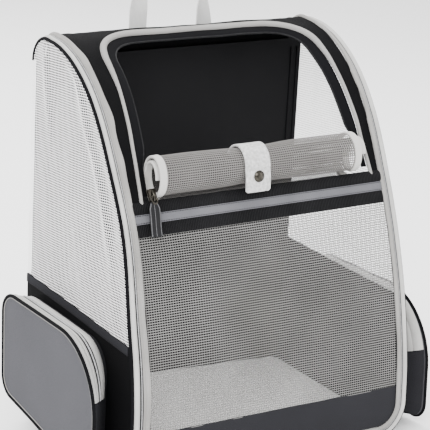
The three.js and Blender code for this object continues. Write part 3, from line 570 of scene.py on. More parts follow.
def wovenFinish(name, dark, light, thread, sheen=0.0, relief=0.5, flecks=0.5, kind="UV", axes=("X", "Y")):
    # plain weave: crossing threads, fibre grain and slow shade changes
    finish, tree, shader = newFinish(name)
    place, parts = coordinates(tree, kind)
    waves = [maths(tree, "SINE", times(tree, parts[axis], math.pi / (thread * mm))) for axis in axes]
    weave = maths(tree, "ABSOLUTE", maths(tree, "MULTIPLY", *waves))
    fibres = grain(tree, place, look["wovenGrain"] / thread, 2)
    slow = grain(tree, place, look["wovenSlow"], 3)
    threads = plus(tree, times(tree, weave, 0.45), times(tree, fibres, flecks))
    shade = plus(tree, threads, times(tree, slow, 0.25))
    colour(tree, shader, shade, 0.25, 0.9, dark, light)
    bump(tree, shader, plus(tree, weave, times(tree, fibres, 0.4)), relief, thread * look["wovenRelief"])
    shader.inputs["Roughness"].default_value = look["wovenRough"]
    shader.inputs["Sheen Weight"].default_value = sheen
    shader.inputs["Sheen Roughness"].default_value = look["sheenRough"]
    return finish


def ribbedFinish(name, dark, light, rib, rough=0.75, relief=0.6, axis="X"):
    # ribbed tape or webbing: cords side by side with a fine cross thread
    finish, tree, shader = newFinish(name)
    place, parts = coordinates(tree, "UV")
    cords = maths(tree, "SINE", times(tree, parts[axis], 2 * math.pi / (rib * mm)))
    other = "Y" if axis == "X" else "X"
    threads = maths(tree, "SINE", times(tree, parts[other], 2 * math.pi / (rib * 0.55 * mm)))
    pattern = plus(tree, cords, times(tree, threads, 0.35))
    slow = grain(tree, place, look["ribbedSlow"], 3)
    shade = plus(tree, times(tree, pattern, 0.22), times(tree, slow, 0.9))
    colour(tree, shader, shade, 0.15, 0.8, dark, light)
    bump(tree, shader, pattern, relief, rib * look["ribbedRelief"])
    shader.inputs["Roughness"].default_value = rough
    return finish


def grainedFinish(name, dark, light, scale, rough, relief, metallic=0.0, depth=0.3):
    # leather, moulded plastic or plated metal, by the size and depth of its grain
    finish, tree, shader = newFinish(name)
    place = tree.nodes.new("ShaderNodeTexCoord").outputs["Object"]
    cells = tree.nodes.new("ShaderNodeTexVoronoi")
    cells.inputs["Scale"].default_value = scale
    tree.links.new(place, cells.inputs["Vector"])
    fine = grain(tree, place, scale * 1.7, 3)
    colour(tree, shader, grain(tree, place, scale * 0.5, 3), 0.3, 0.7, dark, light)
    bump(tree, shader, plus(tree, cells.outputs["Distance"], times(tree, fine, 0.6)), relief, depth)
    shader.inputs["Roughness"].default_value = rough
    shader.inputs["Metallic"].default_value = metallic
    if metallic:
        shader.inputs["Specular IOR Level"].default_value = look["metalSpecular"]
    return finish


def netFinish(name, dark, light):
    # knitted strands: fine fibre shading on the real net
    finish, tree, shader = newFinish(name)
    place = tree.nodes.new("ShaderNodeTexCoord").outputs["Object"]
    fibres = grain(tree, place, look["fibres"], 2)
    slow = grain(tree, place, look["netSlow"], 2)
    colour(tree, shader, plus(tree, times(tree, fibres, 0.6), times(tree, slow, 0.4)), 0.3, 0.7, dark, light)
    bump(tree, shader, fibres, 0.4, 0.12)
    shader.inputs["Roughness"].default_value = look["netRough"]
    return finish


# how each finish is made, its darkest and lightest colour, the size of its thread, rib or grain, and more
finishList = {
    "blackCanvas": (wovenFinish, (0.001, 0.001, 0.0012), (0.0036, 0.0036, 0.0042), 0.55),
    # the black canvas painted lighter, as painted light where the hem, the side's top strip and the pocket
    # gussets catch more light
    "charcoalCanvas": (wovenFinish, (0.009, 0.009, 0.0102), (0.026, 0.026, 0.03), 0.55),
    "innerCanvas": (wovenFinish, (0.004, 0.004, 0.0044), (0.0135, 0.0135, 0.0145), 0.5),
    "greyCanvas": (wovenFinish, (0.03, 0.03, 0.034), (0.082, 0.082, 0.09), 0.6,
                   {"flecks": 0.8, "kind": "Object", "axes": ("Y", "Z")}),
    "greyBinding": (wovenFinish, (0.17, 0.166, 0.159), (0.35, 0.343, 0.333), 0.4),
    "lightBinding": (wovenFinish, (0.36, 0.35, 0.335), (0.58, 0.57, 0.55), 0.4, {"sheen": 0.1}),
    "blackPiping": (wovenFinish, (0.0015, 0.0015, 0.002), (0.005, 0.005, 0.006), 0.4),
    "fleece": (wovenFinish, (0.69, 0.67, 0.655), (0.92, 0.9, 0.885), 1.1,
               {"sheen": 0.3, "relief": 0.8, "flecks": 0.9}),
    "lightTape": (ribbedFinish, (0.33, 0.325, 0.315), (0.56, 0.555, 0.54), 0.8, {"axis": "Y"}),
    "taupeTape": (ribbedFinish, (0.18, 0.173, 0.165), (0.34, 0.333, 0.321), 0.8, {"axis": "Y"}),
    "blackTape": (ribbedFinish, (0.002, 0.002, 0.0023), (0.012, 0.012, 0.0132), 1.9, {"relief": 1.0}),
    "reflective": (ribbedFinish, (0.075, 0.075, 0.083), (0.15, 0.15, 0.163), 0.5,
                   {"rough": 0.38, "axis": "Y"}),
    "ribbon": (ribbedFinish, (0.006, 0.006, 0.0065), (0.024, 0.024, 0.026), 0.9),
    "lightWebbing": (ribbedFinish, (0.5, 0.5, 0.49), (0.74, 0.735, 0.725), 1.5, {"relief": 0.8}),
    "blackWebbing": (ribbedFinish, (0.003, 0.003, 0.0035), (0.014, 0.014, 0.016), 1.6, {"relief": 0.9}),
    # grained: its scale, roughness and relief
    "zipTeeth": (grainedFinish, (0.25, 0.25, 0.255), (0.4, 0.4, 0.405), 900, 0.45, 0.2),
    "blackTeeth": (grainedFinish, (0.005, 0.005, 0.0055), (0.014, 0.014, 0.015), 900, 0.35, 0.2),
    "greyThread": (grainedFinish, (0.05, 0.05, 0.053), (0.1, 0.1, 0.104), 2000, 0.6, 0.3, {"depth": 0.05}),
    "paleThread": (grainedFinish, (0.3, 0.295, 0.285), (0.4, 0.395, 0.385), 2000, 0.6, 0.3, {"depth": 0.05}),
    "blackThread": (grainedFinish, (0.004, 0.004, 0.0045), (0.012, 0.012, 0.013), 2000, 0.6, 0.3,
                    {"depth": 0.05}),
    "leather": (grainedFinish, (0.36, 0.356, 0.352), (0.62, 0.614, 0.61), 700, 0.5, 0.9, {"depth": 0.5}),
    "darkNickel": (grainedFinish, (0.02, 0.018, 0.015), (0.075, 0.069, 0.058), 500, 0.28, 0.06,
                   {"metallic": 1.0, "depth": 0.05}),
    "blackPlastic": (grainedFinish, (0.004, 0.004, 0.0045), (0.011, 0.011, 0.012), 1500, 0.5, 0.25,
                     {"depth": 0.08}),
    "sideNet": (netFinish, (0.84, 0.825, 0.83), (0.97, 0.955, 0.96)),
    "frontNet": (netFinish, (0.126, 0.124, 0.12), (0.225, 0.22, 0.216)),
    "rollNet": (netFinish, (0.12, 0.114, 0.11), (0.205, 0.197, 0.19)),
    # the roll's net painted darker for its inner turns: painted shade inside the roll
    "rollInner": (netFinish, (0.022, 0.021, 0.02), (0.04, 0.038, 0.036)),
}
finishes = {}
for name, (make, *given) in finishList.items():
    more = given.pop() if isinstance(given[-1], dict) else {}
    finishes[name] = make(name, *given, **more)
print("finishes ready")


# the zip band that frames the front, its coil and the black piping beside it

band = {
    "outerInset": 3.5,
    "width": 14.0,
    "thick": 1.2,
    "uprightSteps": 110,
    "cornerSteps": 12,
    "footSteps": 24,
    # across the band: share of its width, and height above its base in mm
    "outer": [(0, -0.2), (0.03, 1.2), (0.1, 2.3), (0.18, 2.3), (0.25, 1.5), (0.29, 0.9), (0.305, 0.1)],
    "inner": [(0.66, 0.1), (0.675, 0.8), (0.7, 1.4), (0.73, 1.2), (0.77, 0.2), (0.81, 1.3), (0.89, 2.2),
              (0.965, 1.6), (1, 0.2)],
    # painted shade lines: share of the width, height and radius
    "paintedShadeLines": [(0.775, 0.35, 0.9), (1.035, 0.0, 0.6)],
    "sunk": 0.6,
    # how far the inner edge wanders, and less of it on the right and below the window
    "wave": 3.3,
    "waveRight": 0.45,
    "waveBelow": 0.45,
    "coilRadius": 0.62,
    "coilWaist": 0.78,
    "coilRise": 0.35,
    "floorHalf": 2.5,
    "floorThick": 0.5,
    "pipingInset": 1.7,
    # the piping is fuller on the left than on the right
    "pipingLeft": 1.75,
    "pipingRight": 1.05,
}


@cache
def framePath(inset):
    # up one side, round both lower corners and up the other, as (x, length)
    corner = body["lowerCorner"]
    radius = corner - inset
    cornerX = halfWidth - corner
    left = [(-halfWidth + inset, length) for length in spread(outlineLength, corner, band["uprightSteps"])]
    turn = [(-cornerX + radius * math.cos(a), corner + radius * math.sin(a))
            for a in spread(math.pi, 1.5 * math.pi, band["cornerSteps"])[1:]]
    foot = [(x, turn[-1][1]) for x in spread(-cornerX, 0, band["footSteps"])[1:]]
    half = left + turn + foot
    return half + [(-x, length) for x, length in reversed(half[:-1])]


def bandRise(inset, length):
    return riseAt(length) * (inset - band["outerInset"]) / band["width"]


def bandWave(x, length):
    # the band's inner edge is a little loose, most of all beside the window on the left, and ripples
    loose = smooth(240, 330, length) * smooth(outlineLength - 40, outlineLength - 110, length)
    below = band["waveBelow"] * smooth(20, 60, length) * smooth(250, 200, length)
    side = 1.0 if x < 0 else band["waveRight"]
    return band["wave"] * (loose + below) * side * ripple(length * 0.034, x * 0.01, 3)


def bandLine(share, up):
    # a line along the band, at a share of its width and a height above its base: each point as
    # (x, length, rise, slack)
    inset = band["outerInset"] + share * band["width"]
    return [(x, length, bandRise(inset, length) + up, bandWave(x, length) * share ** 4)
            for x, length in framePath(inset)]


def makeBand():
    strips = []
    for name, section, finish in (("zipBandOuter", band["outer"], "lightTape"),
                                  ("zipBandInner", band["inner"], "taupeTape")):
        lines = [bandLine(share, up - band["sunk"]) for share, up in section]
        rows = [[front(x - math.copysign(1, x) * slack, length, rise + abs(slack) * 0.25)
                 for x, length, rise, slack in row] for row in zip(*lines)]
        strips.append(clothSheet(name, rows, band["thick"], offset=-1))
        strips[-1].data.materials.append(finishes[finish])
    tape = joinPieces("zipBandTape", strips)
    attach(tape, "root")
    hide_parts("zip_band_left", "zip_band_bottom", "zip_band_right")

    # painted shade: one dark line lies in the inner strip's crease, one along its inner edge
    paintedShadeLines = []
    for share, up, radius in band["paintedShadeLines"]:
        line = [front(x - math.copysign(slack, x), length, rise)
                for x, length, rise, slack in bandLine(share, up)]
        paintedShadeLines.append(tube("zipBandPaintedShadeLine", evenPoints(line, 400), radius, sides=6))
    give(joinPieces("zipBandPaintedShadeLine", paintedShadeLines), "blackTeeth", "zip_teeth")

    middle = band["outerInset"] + band["width"] / 2
    insets = spread(middle - band["floorHalf"], middle + band["floorHalf"], 2)
    lines = [[front(x, length, bandRise(inset, length) + band["coilRise"]) for x, length in framePath(inset)]
             for inset in insets]
    # the zip's tape under the coil, painted near black, partly as painted shade in the gap beside the coil
    give(clothSheet("zipBandFloorPaintedShade", list(zip(*lines)), band["floorThick"]), "blackTeeth", "zip_teeth")
    coil = zipCoil("zipBandCoil", lines[1], band["coilRadius"], band["coilWaist"])
    give(coil, "zipTeeth", "zip_teeth", "zip_coil")

    cord = []
    for x, length in framePath(band["pipingInset"]):
        lift, aside = (-0.5, -0.6) if x > 0 else (0.5, -0.5 if x < 0 else -0.6)
        cord.append(front(x, length, lift) + Vector((aside, 0, 0)))
    cord = evenPoints(cord, 420)
    radii = [mix(band["pipingLeft"], band["pipingRight"], smooth(-140, 60, p.x)) for p in cord]
    give(tube("blackPiping", cord, radii, sides=10), "blackPiping", "black_piping", "front_piping")


makeBand()
print("zip band done")


# the lower front: hem, net, zip tapes and reflective stripe

lower = {
    "hemTop": 60,
    "netTop": 250,
    "tapeLow": 10,
    "stripe": 9,
    "tapeHigh": 8.5,
    "netPitch": (2.65, 2.46),
    # widths and thicknesses of the net's level and upright strands
    "level": (0.88, 0.5),
    "upright": (0.5, 0.45),
    # how deep the net lies, and how far it swells evenly and unevenly
    "netSunk": 0.9,
    "bulge": (2.0, 1.6),
    "edge": 147.2,
    "hemThick": 1.6,
    "tapeThick": 1.3,
    "tapeSunk": 0.6,
    "tapeRipple": 0.45,
    "overNet": 2.4,
    "seamInset": 0.9,
}
hemTopLength = lengthAtHeight(lower["hemTop"])
netTopLength = lengthAtHeight(lower["netTop"])
stripeFoot = netTopLength + lower["tapeLow"]
stripeTop = stripeFoot + lower["stripe"]
windowFoot = stripeTop + lower["tapeHigh"]


def frontBulge(x, length):
    # the net front gives a little outwards between its seams
    across = 1 - (x / lower["edge"]) ** 2
    up = math.sin(math.pi * min(max((length - hemTopLength) / (netTopLength - hemTopLength), 0), 1))
    even, uneven = lower["bulge"]
    return across * up * (even + uneven * ripple(x * 0.02, length * 0.012, 7))


def netPoint(x, length):
    return front(x, length, body["frontRise"] - lower["netSunk"] + frontBulge(x, length))


def makeFrontNet():
    edge = lower["edge"]
    columns = int(2 * edge / lower["netPitch"][0])
    tall = int((netTopLength - hemTopLength) / lower["netPitch"][1])
    lengths = spread(hemTopLength - 0.5, netTopLength + 0.5, 44)
    outs = [outlineAt(length)[1] for length in lengths]
    uprights = [([netPoint(x, length) for length in lengths], outs) for x in spread(-edge, edge, columns)]
    levels = []
    for length in spread(hemTopLength, netTopLength, tall):
        out = outlineAt(length)[1]
        levels.append(([netPoint(x, length) + out * 0.12 for x in spread(-edge, edge, 50)], [out] * 51))
    net = joinPieces("frontNet", [strands("frontUprights", uprights, *lower["upright"]),
                                  strands("frontLevels", levels, *lower["level"])])
    give(net, "frontNet", "front_net", "front_mesh")


def makeHem():
    # the dark strip at the foot follows the band round both lower corners
    corner = body["lowerCorner"]
    radius = corner - (band["outerInset"] + band["width"] + 0.3)
    lines = [(halfWidth - corner + radius * math.sin(a), corner - radius * math.cos(a))
             for a in spread(0, math.pi / 2, 10)]
    lines += [(lower["edge"], length) for length in spread(corner, hemTopLength + 0.4, 5)[1:]]
    rows = []
    for half, length in lines:
        row = []
        for share in spread(-1, 1, 60):
            x = half * share
            crease = 0.8 * ripple(x * 0.03, length * 0.09, 1) * (1 - abs(share) ** 6)
            row.append(front(x, length, body["frontRise"] - 1 + crease))
        rows.append(row)
    # painted light: the hem takes the black canvas painted lighter
    give(clothSheet("hemStrip", rows, lower["hemThick"]), "charcoalCanvas", "black_canvas", "hem_strip")


def tapeLine(length, lift):
    rise = body["frontRise"] + lift
    return [front(x, length, rise + lower["tapeRipple"] * ripple(x * 0.035, length * 0.05, 5))
            for x in spread(-lower["edge"], lower["edge"], 90)]


def makeFrontTapes():
    # name, lengths of the foot and top edges, finish, slot, node, lift and crown in mm
    strips = [
        ("lowerZipTape", netTopLength - lower["overNet"], stripeFoot, "blackTape", "black_tape",
         "zip_tape_lower", 0.0, 0.9),
        ("reflectiveStripe", stripeFoot, stripeTop, "reflective", "reflective_tape",
         "reflective_stripe", 0.45, 0.5),
        ("upperZipTape", stripeTop, windowFoot + 3.4, "blackTape", "black_tape",
         "zip_tape_upper", 0.1, 2.4),
    ]
    for name, low, high, finish, slot, node, lift, crown in strips:
        foot = lift - lower["tapeSunk"]
        rows = [tapeLine(mix(low, high, share), foot + crown * math.sin(math.pi * share) ** 0.6)
                for share in spread(0, 1, 6)]
        give(clothSheet(name, rows, lower["tapeThick"]), finish, slot, node)
    for name, length in (("stripeSeamLow", stripeFoot + lower["seamInset"]),
                         ("stripeSeamHigh", stripeTop - lower["seamInset"])):
        stitches(name, tapeLine(length, 0.9), "blackThread", "black_tape", thread=0.28, pitch=2.8)


makeFrontNet()
makeHem()
makeFrontTapes()
print("lower front done")


# the dark panel round the window and over the top, the window's piping and zip tape

window = {
    "halfWidth": 136.0,
    "topHalfWidth": 126.0,
    "corner": 50.0,
    "rearMargin": 16.5,
    # half the gap that the piping fills, and the piping's own radius at the left, the right and the top
    "pipingRadius": 2.6,
    "pipingLeft": 1.75,
    "pipingRight": 2.0,
    "pipingTop": 3.5,
    "panelThick": 1.6,
    "panelCrease": (1.5, 0.5),
    # the panel's top edge reaches down behind the back panel's
    "panelOver": 7,
    "lipWidth": 11.0,
    "lipThick": 1.1,
    "lipFoot": 284,
    "lipCurl": 2.6,
    # shares of the lip's width beside the roll
    "lipLeft": 0.62,
    "lipRight": 0.3,
    "teethRadius": 1.15,
    "teethWaist": 0.72,
    "legSteps": 44,
    "cornerSteps": 16,
    "topSteps": 30,
    "panelSteps": 14,
    "lipSteps": 8,
}
windowTop = rearArcLength - window["rearMargin"]
cornerX = window["topHalfWidth"] - window["corner"]
cornerLength = windowTop - window["corner"]


def windowLeg(length):
    share = (length - windowFoot) / (cornerLength - windowFoot)
    return mix(window["halfWidth"], window["topHalfWidth"], share)


@cache
def windowPath(offset, foot):
    radius = window["corner"] + offset
    leg = [(-offset - windowLeg(length), length) for length in spread(foot, cornerLength, window["legSteps"])]
    turn = [(-cornerX + radius * math.cos(a), cornerLength + radius * math.sin(a))
            for a in spread(math.pi, math.pi / 2, window["cornerSteps"])[1:]]
    top = [(x, cornerLength + radius) for x in spread(-cornerX, 0, window["topSteps"])[1:]]
    half = leg + turn + top
    return half + [(-x, length) for x, length in reversed(half[:-1])]


def panelEdge(x, length):
    # where the line from the window's corner centre through a point meets the panel's outer edge
    edge = lower["edge"]
    side = math.copysign(1, x)
    centre = side * cornerX
    along = length - cornerLength
    if along <= 0:
        return side * edge, length
    if abs(x) <= cornerX:
        return x, outlineLength
    reach = min((side * edge - centre) / (x - centre), (outlineLength - cornerLength) / along)
    return centre + (x - centre) * reach, cornerLength + along * reach


def panelCrease(x, length):
    # soft creases of the loose dark cloth
    broad, fine = window["panelCrease"]
    return broad * ripple(x * 0.022, length * 0.03, 11) + fine * ripple(x * 0.06, length * 0.05, 4)


def makeUpperPanel():
    gap = window["pipingRadius"] + 0.3
    inner = windowPath(gap, windowFoot + 0.2)
    pairs = [((x, length), panelEdge(x, length)) for x, length in inner]
    edge = lower["edge"]
    farAngle = math.atan2(outlineLength - cornerLength, edge - cornerX)
    radius = window["corner"] + gap
    full = []
    for pair, following in zip(pairs, pairs[1:]):
        full.append(pair)
        # a row of its own runs to each of the panel's square outer corners
        nears = (pair[0], following[0])
        angles = [math.atan2(max(p[1] - cornerLength, 0), abs(p[0]) - cornerX) for p in nears]
        if min(angles) < farAngle < max(angles) and min(abs(p[0]) for p in nears) >= cornerX:
            side = math.copysign(1, pair[0][0])
            near = (side * (cornerX + radius * math.cos(farAngle)),
                    cornerLength + radius * math.sin(farAngle))
            full.append((near, (side * edge, outlineLength)))
    full.append(pairs[-1])
    rows = []
    for near, far in full:
        row = []
        for share in spread(0, 1, window["panelSteps"]):
            x, length = mix(near[0], far[0], share), mix(near[1], far[1], share)
            length += (window["panelOver"] * smooth(outlineLength - 12, outlineLength, length)
                       * smooth(0.8, 1, share))
            fade = math.sin(math.pi * share) ** 0.7 if 0 < share < 1 else 0
            row.append(front(x, length, riseAt(length) - 1 + fade * panelCrease(x, length)))
        rows.append(row)
    give(clothSheet("upperPanel", rows, window["panelThick"]), "blackCanvas", "black_canvas", "upper_panel")


def makeWindowPiping():
    line = []
    for x, length in windowPath(0, windowFoot):
        shift = 0.9 * ripple(x * 0.03, length * 0.03, 2)
        line.append(front(x + shift, length, riseAt(length) + 0.2 + 0.5 * shift))
    line = evenPoints(line, 260)
    radii = [mix(window["pipingLeft"] if p.x < 0 else window["pipingRight"], window["pipingTop"],
                 smooth(height - 45, height - 4, p.z)) for p in line]
    give(tube("windowPiping", line, radii, sides=12), "greyBinding", "light_tape", "window_piping")


def makeWindowLip():
    # the open half of the window's zip: a dark tape inside the piping, its teeth along the free edge
    foot = lengthAtHeight(window["lipFoot"])
    inside = 0.6 - window["pipingRadius"]
    rows = []
    for k, (side, atLength) in enumerate(windowPath(inside, foot)):
        row = []
        for share in spread(0, 1, window["lipSteps"]):
            # the lip narrows where the roll sits in the window
            beside = window["lipRight"] if side > 0 else window["lipLeft"]
            reach = window["lipWidth"] * mix(beside, 1, smooth(foot + 24, foot + 50, atLength))
            x, length = windowPath(inside - reach * share, foot)[k]
            curl = 0.8 * ripple(x * 0.03, length * 0.03, 9) - window["lipCurl"] * share ** 2
            row.append(front(x, length, riseAt(length) - 1.6 + curl))
        rows.append(row)
    tape = clothSheet("windowZipTape", rows, window["lipThick"])
    give(tape, "blackPiping", "black_tape", "window_zip_tape")
    teeth = zipCoil("windowZipTeeth", [row[-1] for row in rows], window["teethRadius"], window["teethWaist"])
    give(teeth, "blackTeeth", "zip_teeth")


makeUpperPanel()
makeWindowPiping()
makeWindowLip()
print("window done")


# the sides: net above, dark cloth below

sides = {
    "edge": 1.2,
    "lineBack": 165.0,
    "lineFront": 147.0,
    "pitch": (2.65, 2.6),
    # widths and thicknesses of the net's strands
    "across": (0.8, 0.46),
    "upright": (0.42, 0.34),
    # the cloth's share of the rectangle round the net
    "clothShare": 0.52,
    "netSunk": 0.8,
    "slack": 2.0,
    "wallThick": 1.6,
    # rows of the strip painted lighter along the wall's top edge, as painted light: how far each lies below
    # the net's seam, and its thickness
    "paintedLightStripDrops": (0, 3, 6, 9),
    "paintedLightStripThick": 1.2,
    "stitchDrop": 7,
    # soft ridges: depth, width, and how far they run down from the top
    "frontRidge": (2.6, 7.0, 24.0),
    "rearRidge": (2.2, 6.5, 26.0),
}


def meshLine(y):
    return mix(sides["lineFront"], sides["lineBack"], (y + halfDepth) / (2 * halfDepth))


def sideFrontY(z):
    return outlineAt(lengthAtHeight(z))[0].y + sides["edge"]


def sideRearY(z):
    straight = backY(z) + 1.4
    if z <= rearArcZ:
        return straight
    radius = body["topRearRadius"] + 0.6
    return min(straight, rearArcY + math.sqrt(max(radius ** 2 - (z - rearArcZ) ** 2, 0)))


def sideTopZ(y):
    # height of the side outline above a depth
    if y > rearArcY:
        radius = body["topRearRadius"] - sides["edge"]
        return rearArcZ + math.sqrt(max(radius ** 2 - (y - rearArcY) ** 2, 0))
    for k in range(1, body["samples"] + 1):
        if outline[k].y >= y and outline[k].y > outline[k - 1].y:
            share = (y - outline[k - 1].y) / (outline[k].y - outline[k - 1].y)
            return mix(outline[k - 1].z, outline[k].z, share) - sides["edge"]
    return height - sides["edge"]


def sideFold(y, z):
    # two soft ridges run down from the top: one beside the front seam, one near the rear seam
    deep, wide, inset = sides["frontRidge"]
    wander = 3 * ripple(z * 0.014, 3, 1)
    ahead = (y - sideFrontY(min(z, height - 3)) - inset * smooth(410, 330, z) - 6 - wander) / wide
    fold = deep * math.exp(-ahead ** 2) * smooth(170, 260, z)
    deep, wide, inset = sides["rearRidge"]
    rear = (backY(z) - y - inset - 0.1 * (410 - z)) / wide
    fold += deep * math.exp(-rear ** 2) * smooth(290, 370, z)
    slack = sides["slack"] * math.sin(math.pi * min(max((z - 150) / 270, 0), 1))
    drift = 1.6 * ripple(y * 0.02, z * 0.013, 8) + 0.6 * ripple(y * 0.06, z * 0.02, 3)
    return fold - slack + drift


def sidePoint(side, y, z):
    soft = min(smooth(0, 16, y - sideFrontY(min(z, height - 3))), smooth(0, 12, z - meshLine(y)),
               smooth(0, 12, sideTopZ(y) - z), smooth(0, 12, sideRearY(z) - y))
    return Vector((side * (halfWidth - sides["netSunk"] + soft * sideFold(y, z)), y, z))


def sideWord(side):
    return "Left" if side < 0 else "Right"


def makeSideNet(side):
    word = sideWord(side)
    out = Vector((side, 0, 0))
    level, upright = [], []
    lowZ = sides["lineFront"] - 1
    for k in range(int((height - lowZ) / sides["pitch"][1])):
        z = lowZ + k * sides["pitch"][1]
        fromY, toY = sideFrontY(z), sideRearY(z)
        # beside the sloping seam a strand ends where it meets the seam
        if z < meshLine(toY):
            share = (z - sides["lineFront"]) / (sides["lineBack"] - sides["lineFront"])
            toY = min(toY, -halfDepth + share * 2 * halfDepth)
        if toY - fromY > 3:
            level.append([sidePoint(side, y, z) for y in spread(fromY, toY, 56)])
    for k in range(int(2 * halfDepth / sides["pitch"][0])):
        y = -halfDepth + (k + 0.5) * sides["pitch"][0]
        fromZ, toZ = meshLine(y), sideTopZ(y)
        if y > sideRearY(toZ):
            toZ = min(toZ, (halfDepth + 1.2 - y) / backSlope)
        if toZ - fromZ > 3:
            upright.append([sidePoint(side, y, z) for z in spread(fromZ, toZ, 60)])
    parts = []
    for lines, (wide, thick) in ((level, sides["across"]), (upright, sides["upright"])):
        parts.append(strands("sideStrands", [(line, [out] * len(line)) for line in lines], wide, thick))
    net = joinPieces("sideNet" + word, parts)
    give(net, "sideNet", "side_net", "side_mesh_" + word.lower())


def makeSideWall(side):
    word = sideWord(side)
    corner = body["lowerCorner"]
    rows = []
    for a in spread(0, math.pi / 2, 12):
        z = corner - corner * math.cos(a)
        x = halfWidth - corner + corner * math.sin(a)
        rows.append([Vector((side * x, y, z)) for y in spread(sideFrontY(z), backY(z) + 0.6, 44)])
    for share in spread(0, 1, 12)[1:]:
        row = []
        for depth in spread(0, 1, 44):
            guess = mix(corner, meshLine(mix(-halfDepth, halfDepth, depth)), share)
            y = mix(sideFrontY(guess), backY(guess) + 0.6, depth)
            z = mix(corner, meshLine(y) + 0.8, share)
            crease = ripple(y * 0.03, z * 0.03, 6) * math.sin(math.pi * min(share, 0.97))
            row.append(Vector((side * (halfWidth - 1 + crease), y, z)))
        rows.append(row)
    wall = clothSheet("sideLower" + word, rows, sides["wallThick"])
    give(wall, "blackCanvas", "black_canvas", "side_lower_" + word.lower())
    # a strip of the black canvas painted lighter lies along the cloth's top edge: painted light on the wall's
    # upper part
    rows = [[Vector((side * (halfWidth + 0.1), y, meshLine(y) + 0.6 - drop))
             for y in spread(sideFrontY(150), backY(160) + 0.6, 40)] for drop in sides["paintedLightStripDrops"]]
    give(clothSheet("sidePaintedLightStrip" + word, rows, sides["paintedLightStripThick"]), "charcoalCanvas", "black_canvas")
    line = [Vector((side * (halfWidth + 0.9), y, meshLine(y) - sides["stitchDrop"]))
            for y in spread(sideFrontY(150), backY(160), 40)]
    stitches("sideStitch" + word, line, "blackThread", "black_canvas", thread=0.3, pitch=3.4)


for side in (-1, 1):
    makeSideNet(side)
    makeSideWall(side)
print("sides done")


# the rolled window flap, its bindings and the strap that holds it

roll = {
    "left": -123.0,
    "right": 128.0,
    "height": 49.0,
    "depth": 40.0,
    "forward": 6.0,
    "middle": 301.0,
    "binding": 8.0,
    "bindingThick": 2.6,
    "pitch": 5.2,
    "turns": 1.7,
    "tail": 250.0,
    "stepsPerTurn": 44,
    "netPitch": (2.6, 2.45),
    # widths and thicknesses of the strands across the roll and round it, outside and in the core
    "across": (1.12, 0.5),
    "round": (0.85, 0.45),
    "coreAcross": (1.5, 0.5),
    "coreRound": (1.6, 0.5),
    # the turns end further out or in, by mm a turn
    "fanLeft": 2.0,
    "fanRight": 9.0,
    "outerTurn": 0.95,
    "underBinding": 1.5,
    # the strap pinches the roll: depth, place across and width
    "pinch": (1.6, -12, 26),
    "ripple": 0.9,
}
rollTail = math.radians(roll["tail"])
rollCentre = front(0, lengthAtHeight(roll["middle"]), 0) + Vector((0, -roll["forward"], 0))


def aroundRoll(angle, outside):
    return Vector((0, rollCentre.y - (roll["depth"] / 2 + outside) * math.cos(angle),
                   rollCentre.z + (roll["height"] / 2 + outside) * math.sin(angle)))


def woundIn(angle):
    return 1.5 + roll["pitch"] * (rollTail - angle) / (2 * math.pi)


def rollLine():
    # (point, turns wound so far) from the seam above the zip tape into the roll
    seam = front(0, windowFoot - 0.6, body["frontRise"] - 0.6)
    steps = int(roll["turns"] * roll["stepsPerTurn"])
    found = [(seam, 0.0)]
    for k, angle in enumerate(spread(rollTail, rollTail - roll["turns"] * 2 * math.pi, steps)):
        found.append((aroundRoll(angle, -woundIn(angle)), roll["turns"] * k / steps))
    return found


def onRoll(x, wound, point):
    # the roll is soft: its strap pinches it, and its cloth ripples
    deep, middle, wide = roll["pinch"]
    swell = roll["ripple"] * ripple(x * 0.022, wound * 1.3, 2) - deep * math.exp(-((x - middle) / wide) ** 2)
    return Vector((x, 0, 0)) + point + (point - rollCentre).normalized() * swell


def rollEnds(wound):
    return roll["left"] - roll["fanLeft"] * (wound - 0.6), roll["right"] + roll["fanRight"] * (wound - 1.85)


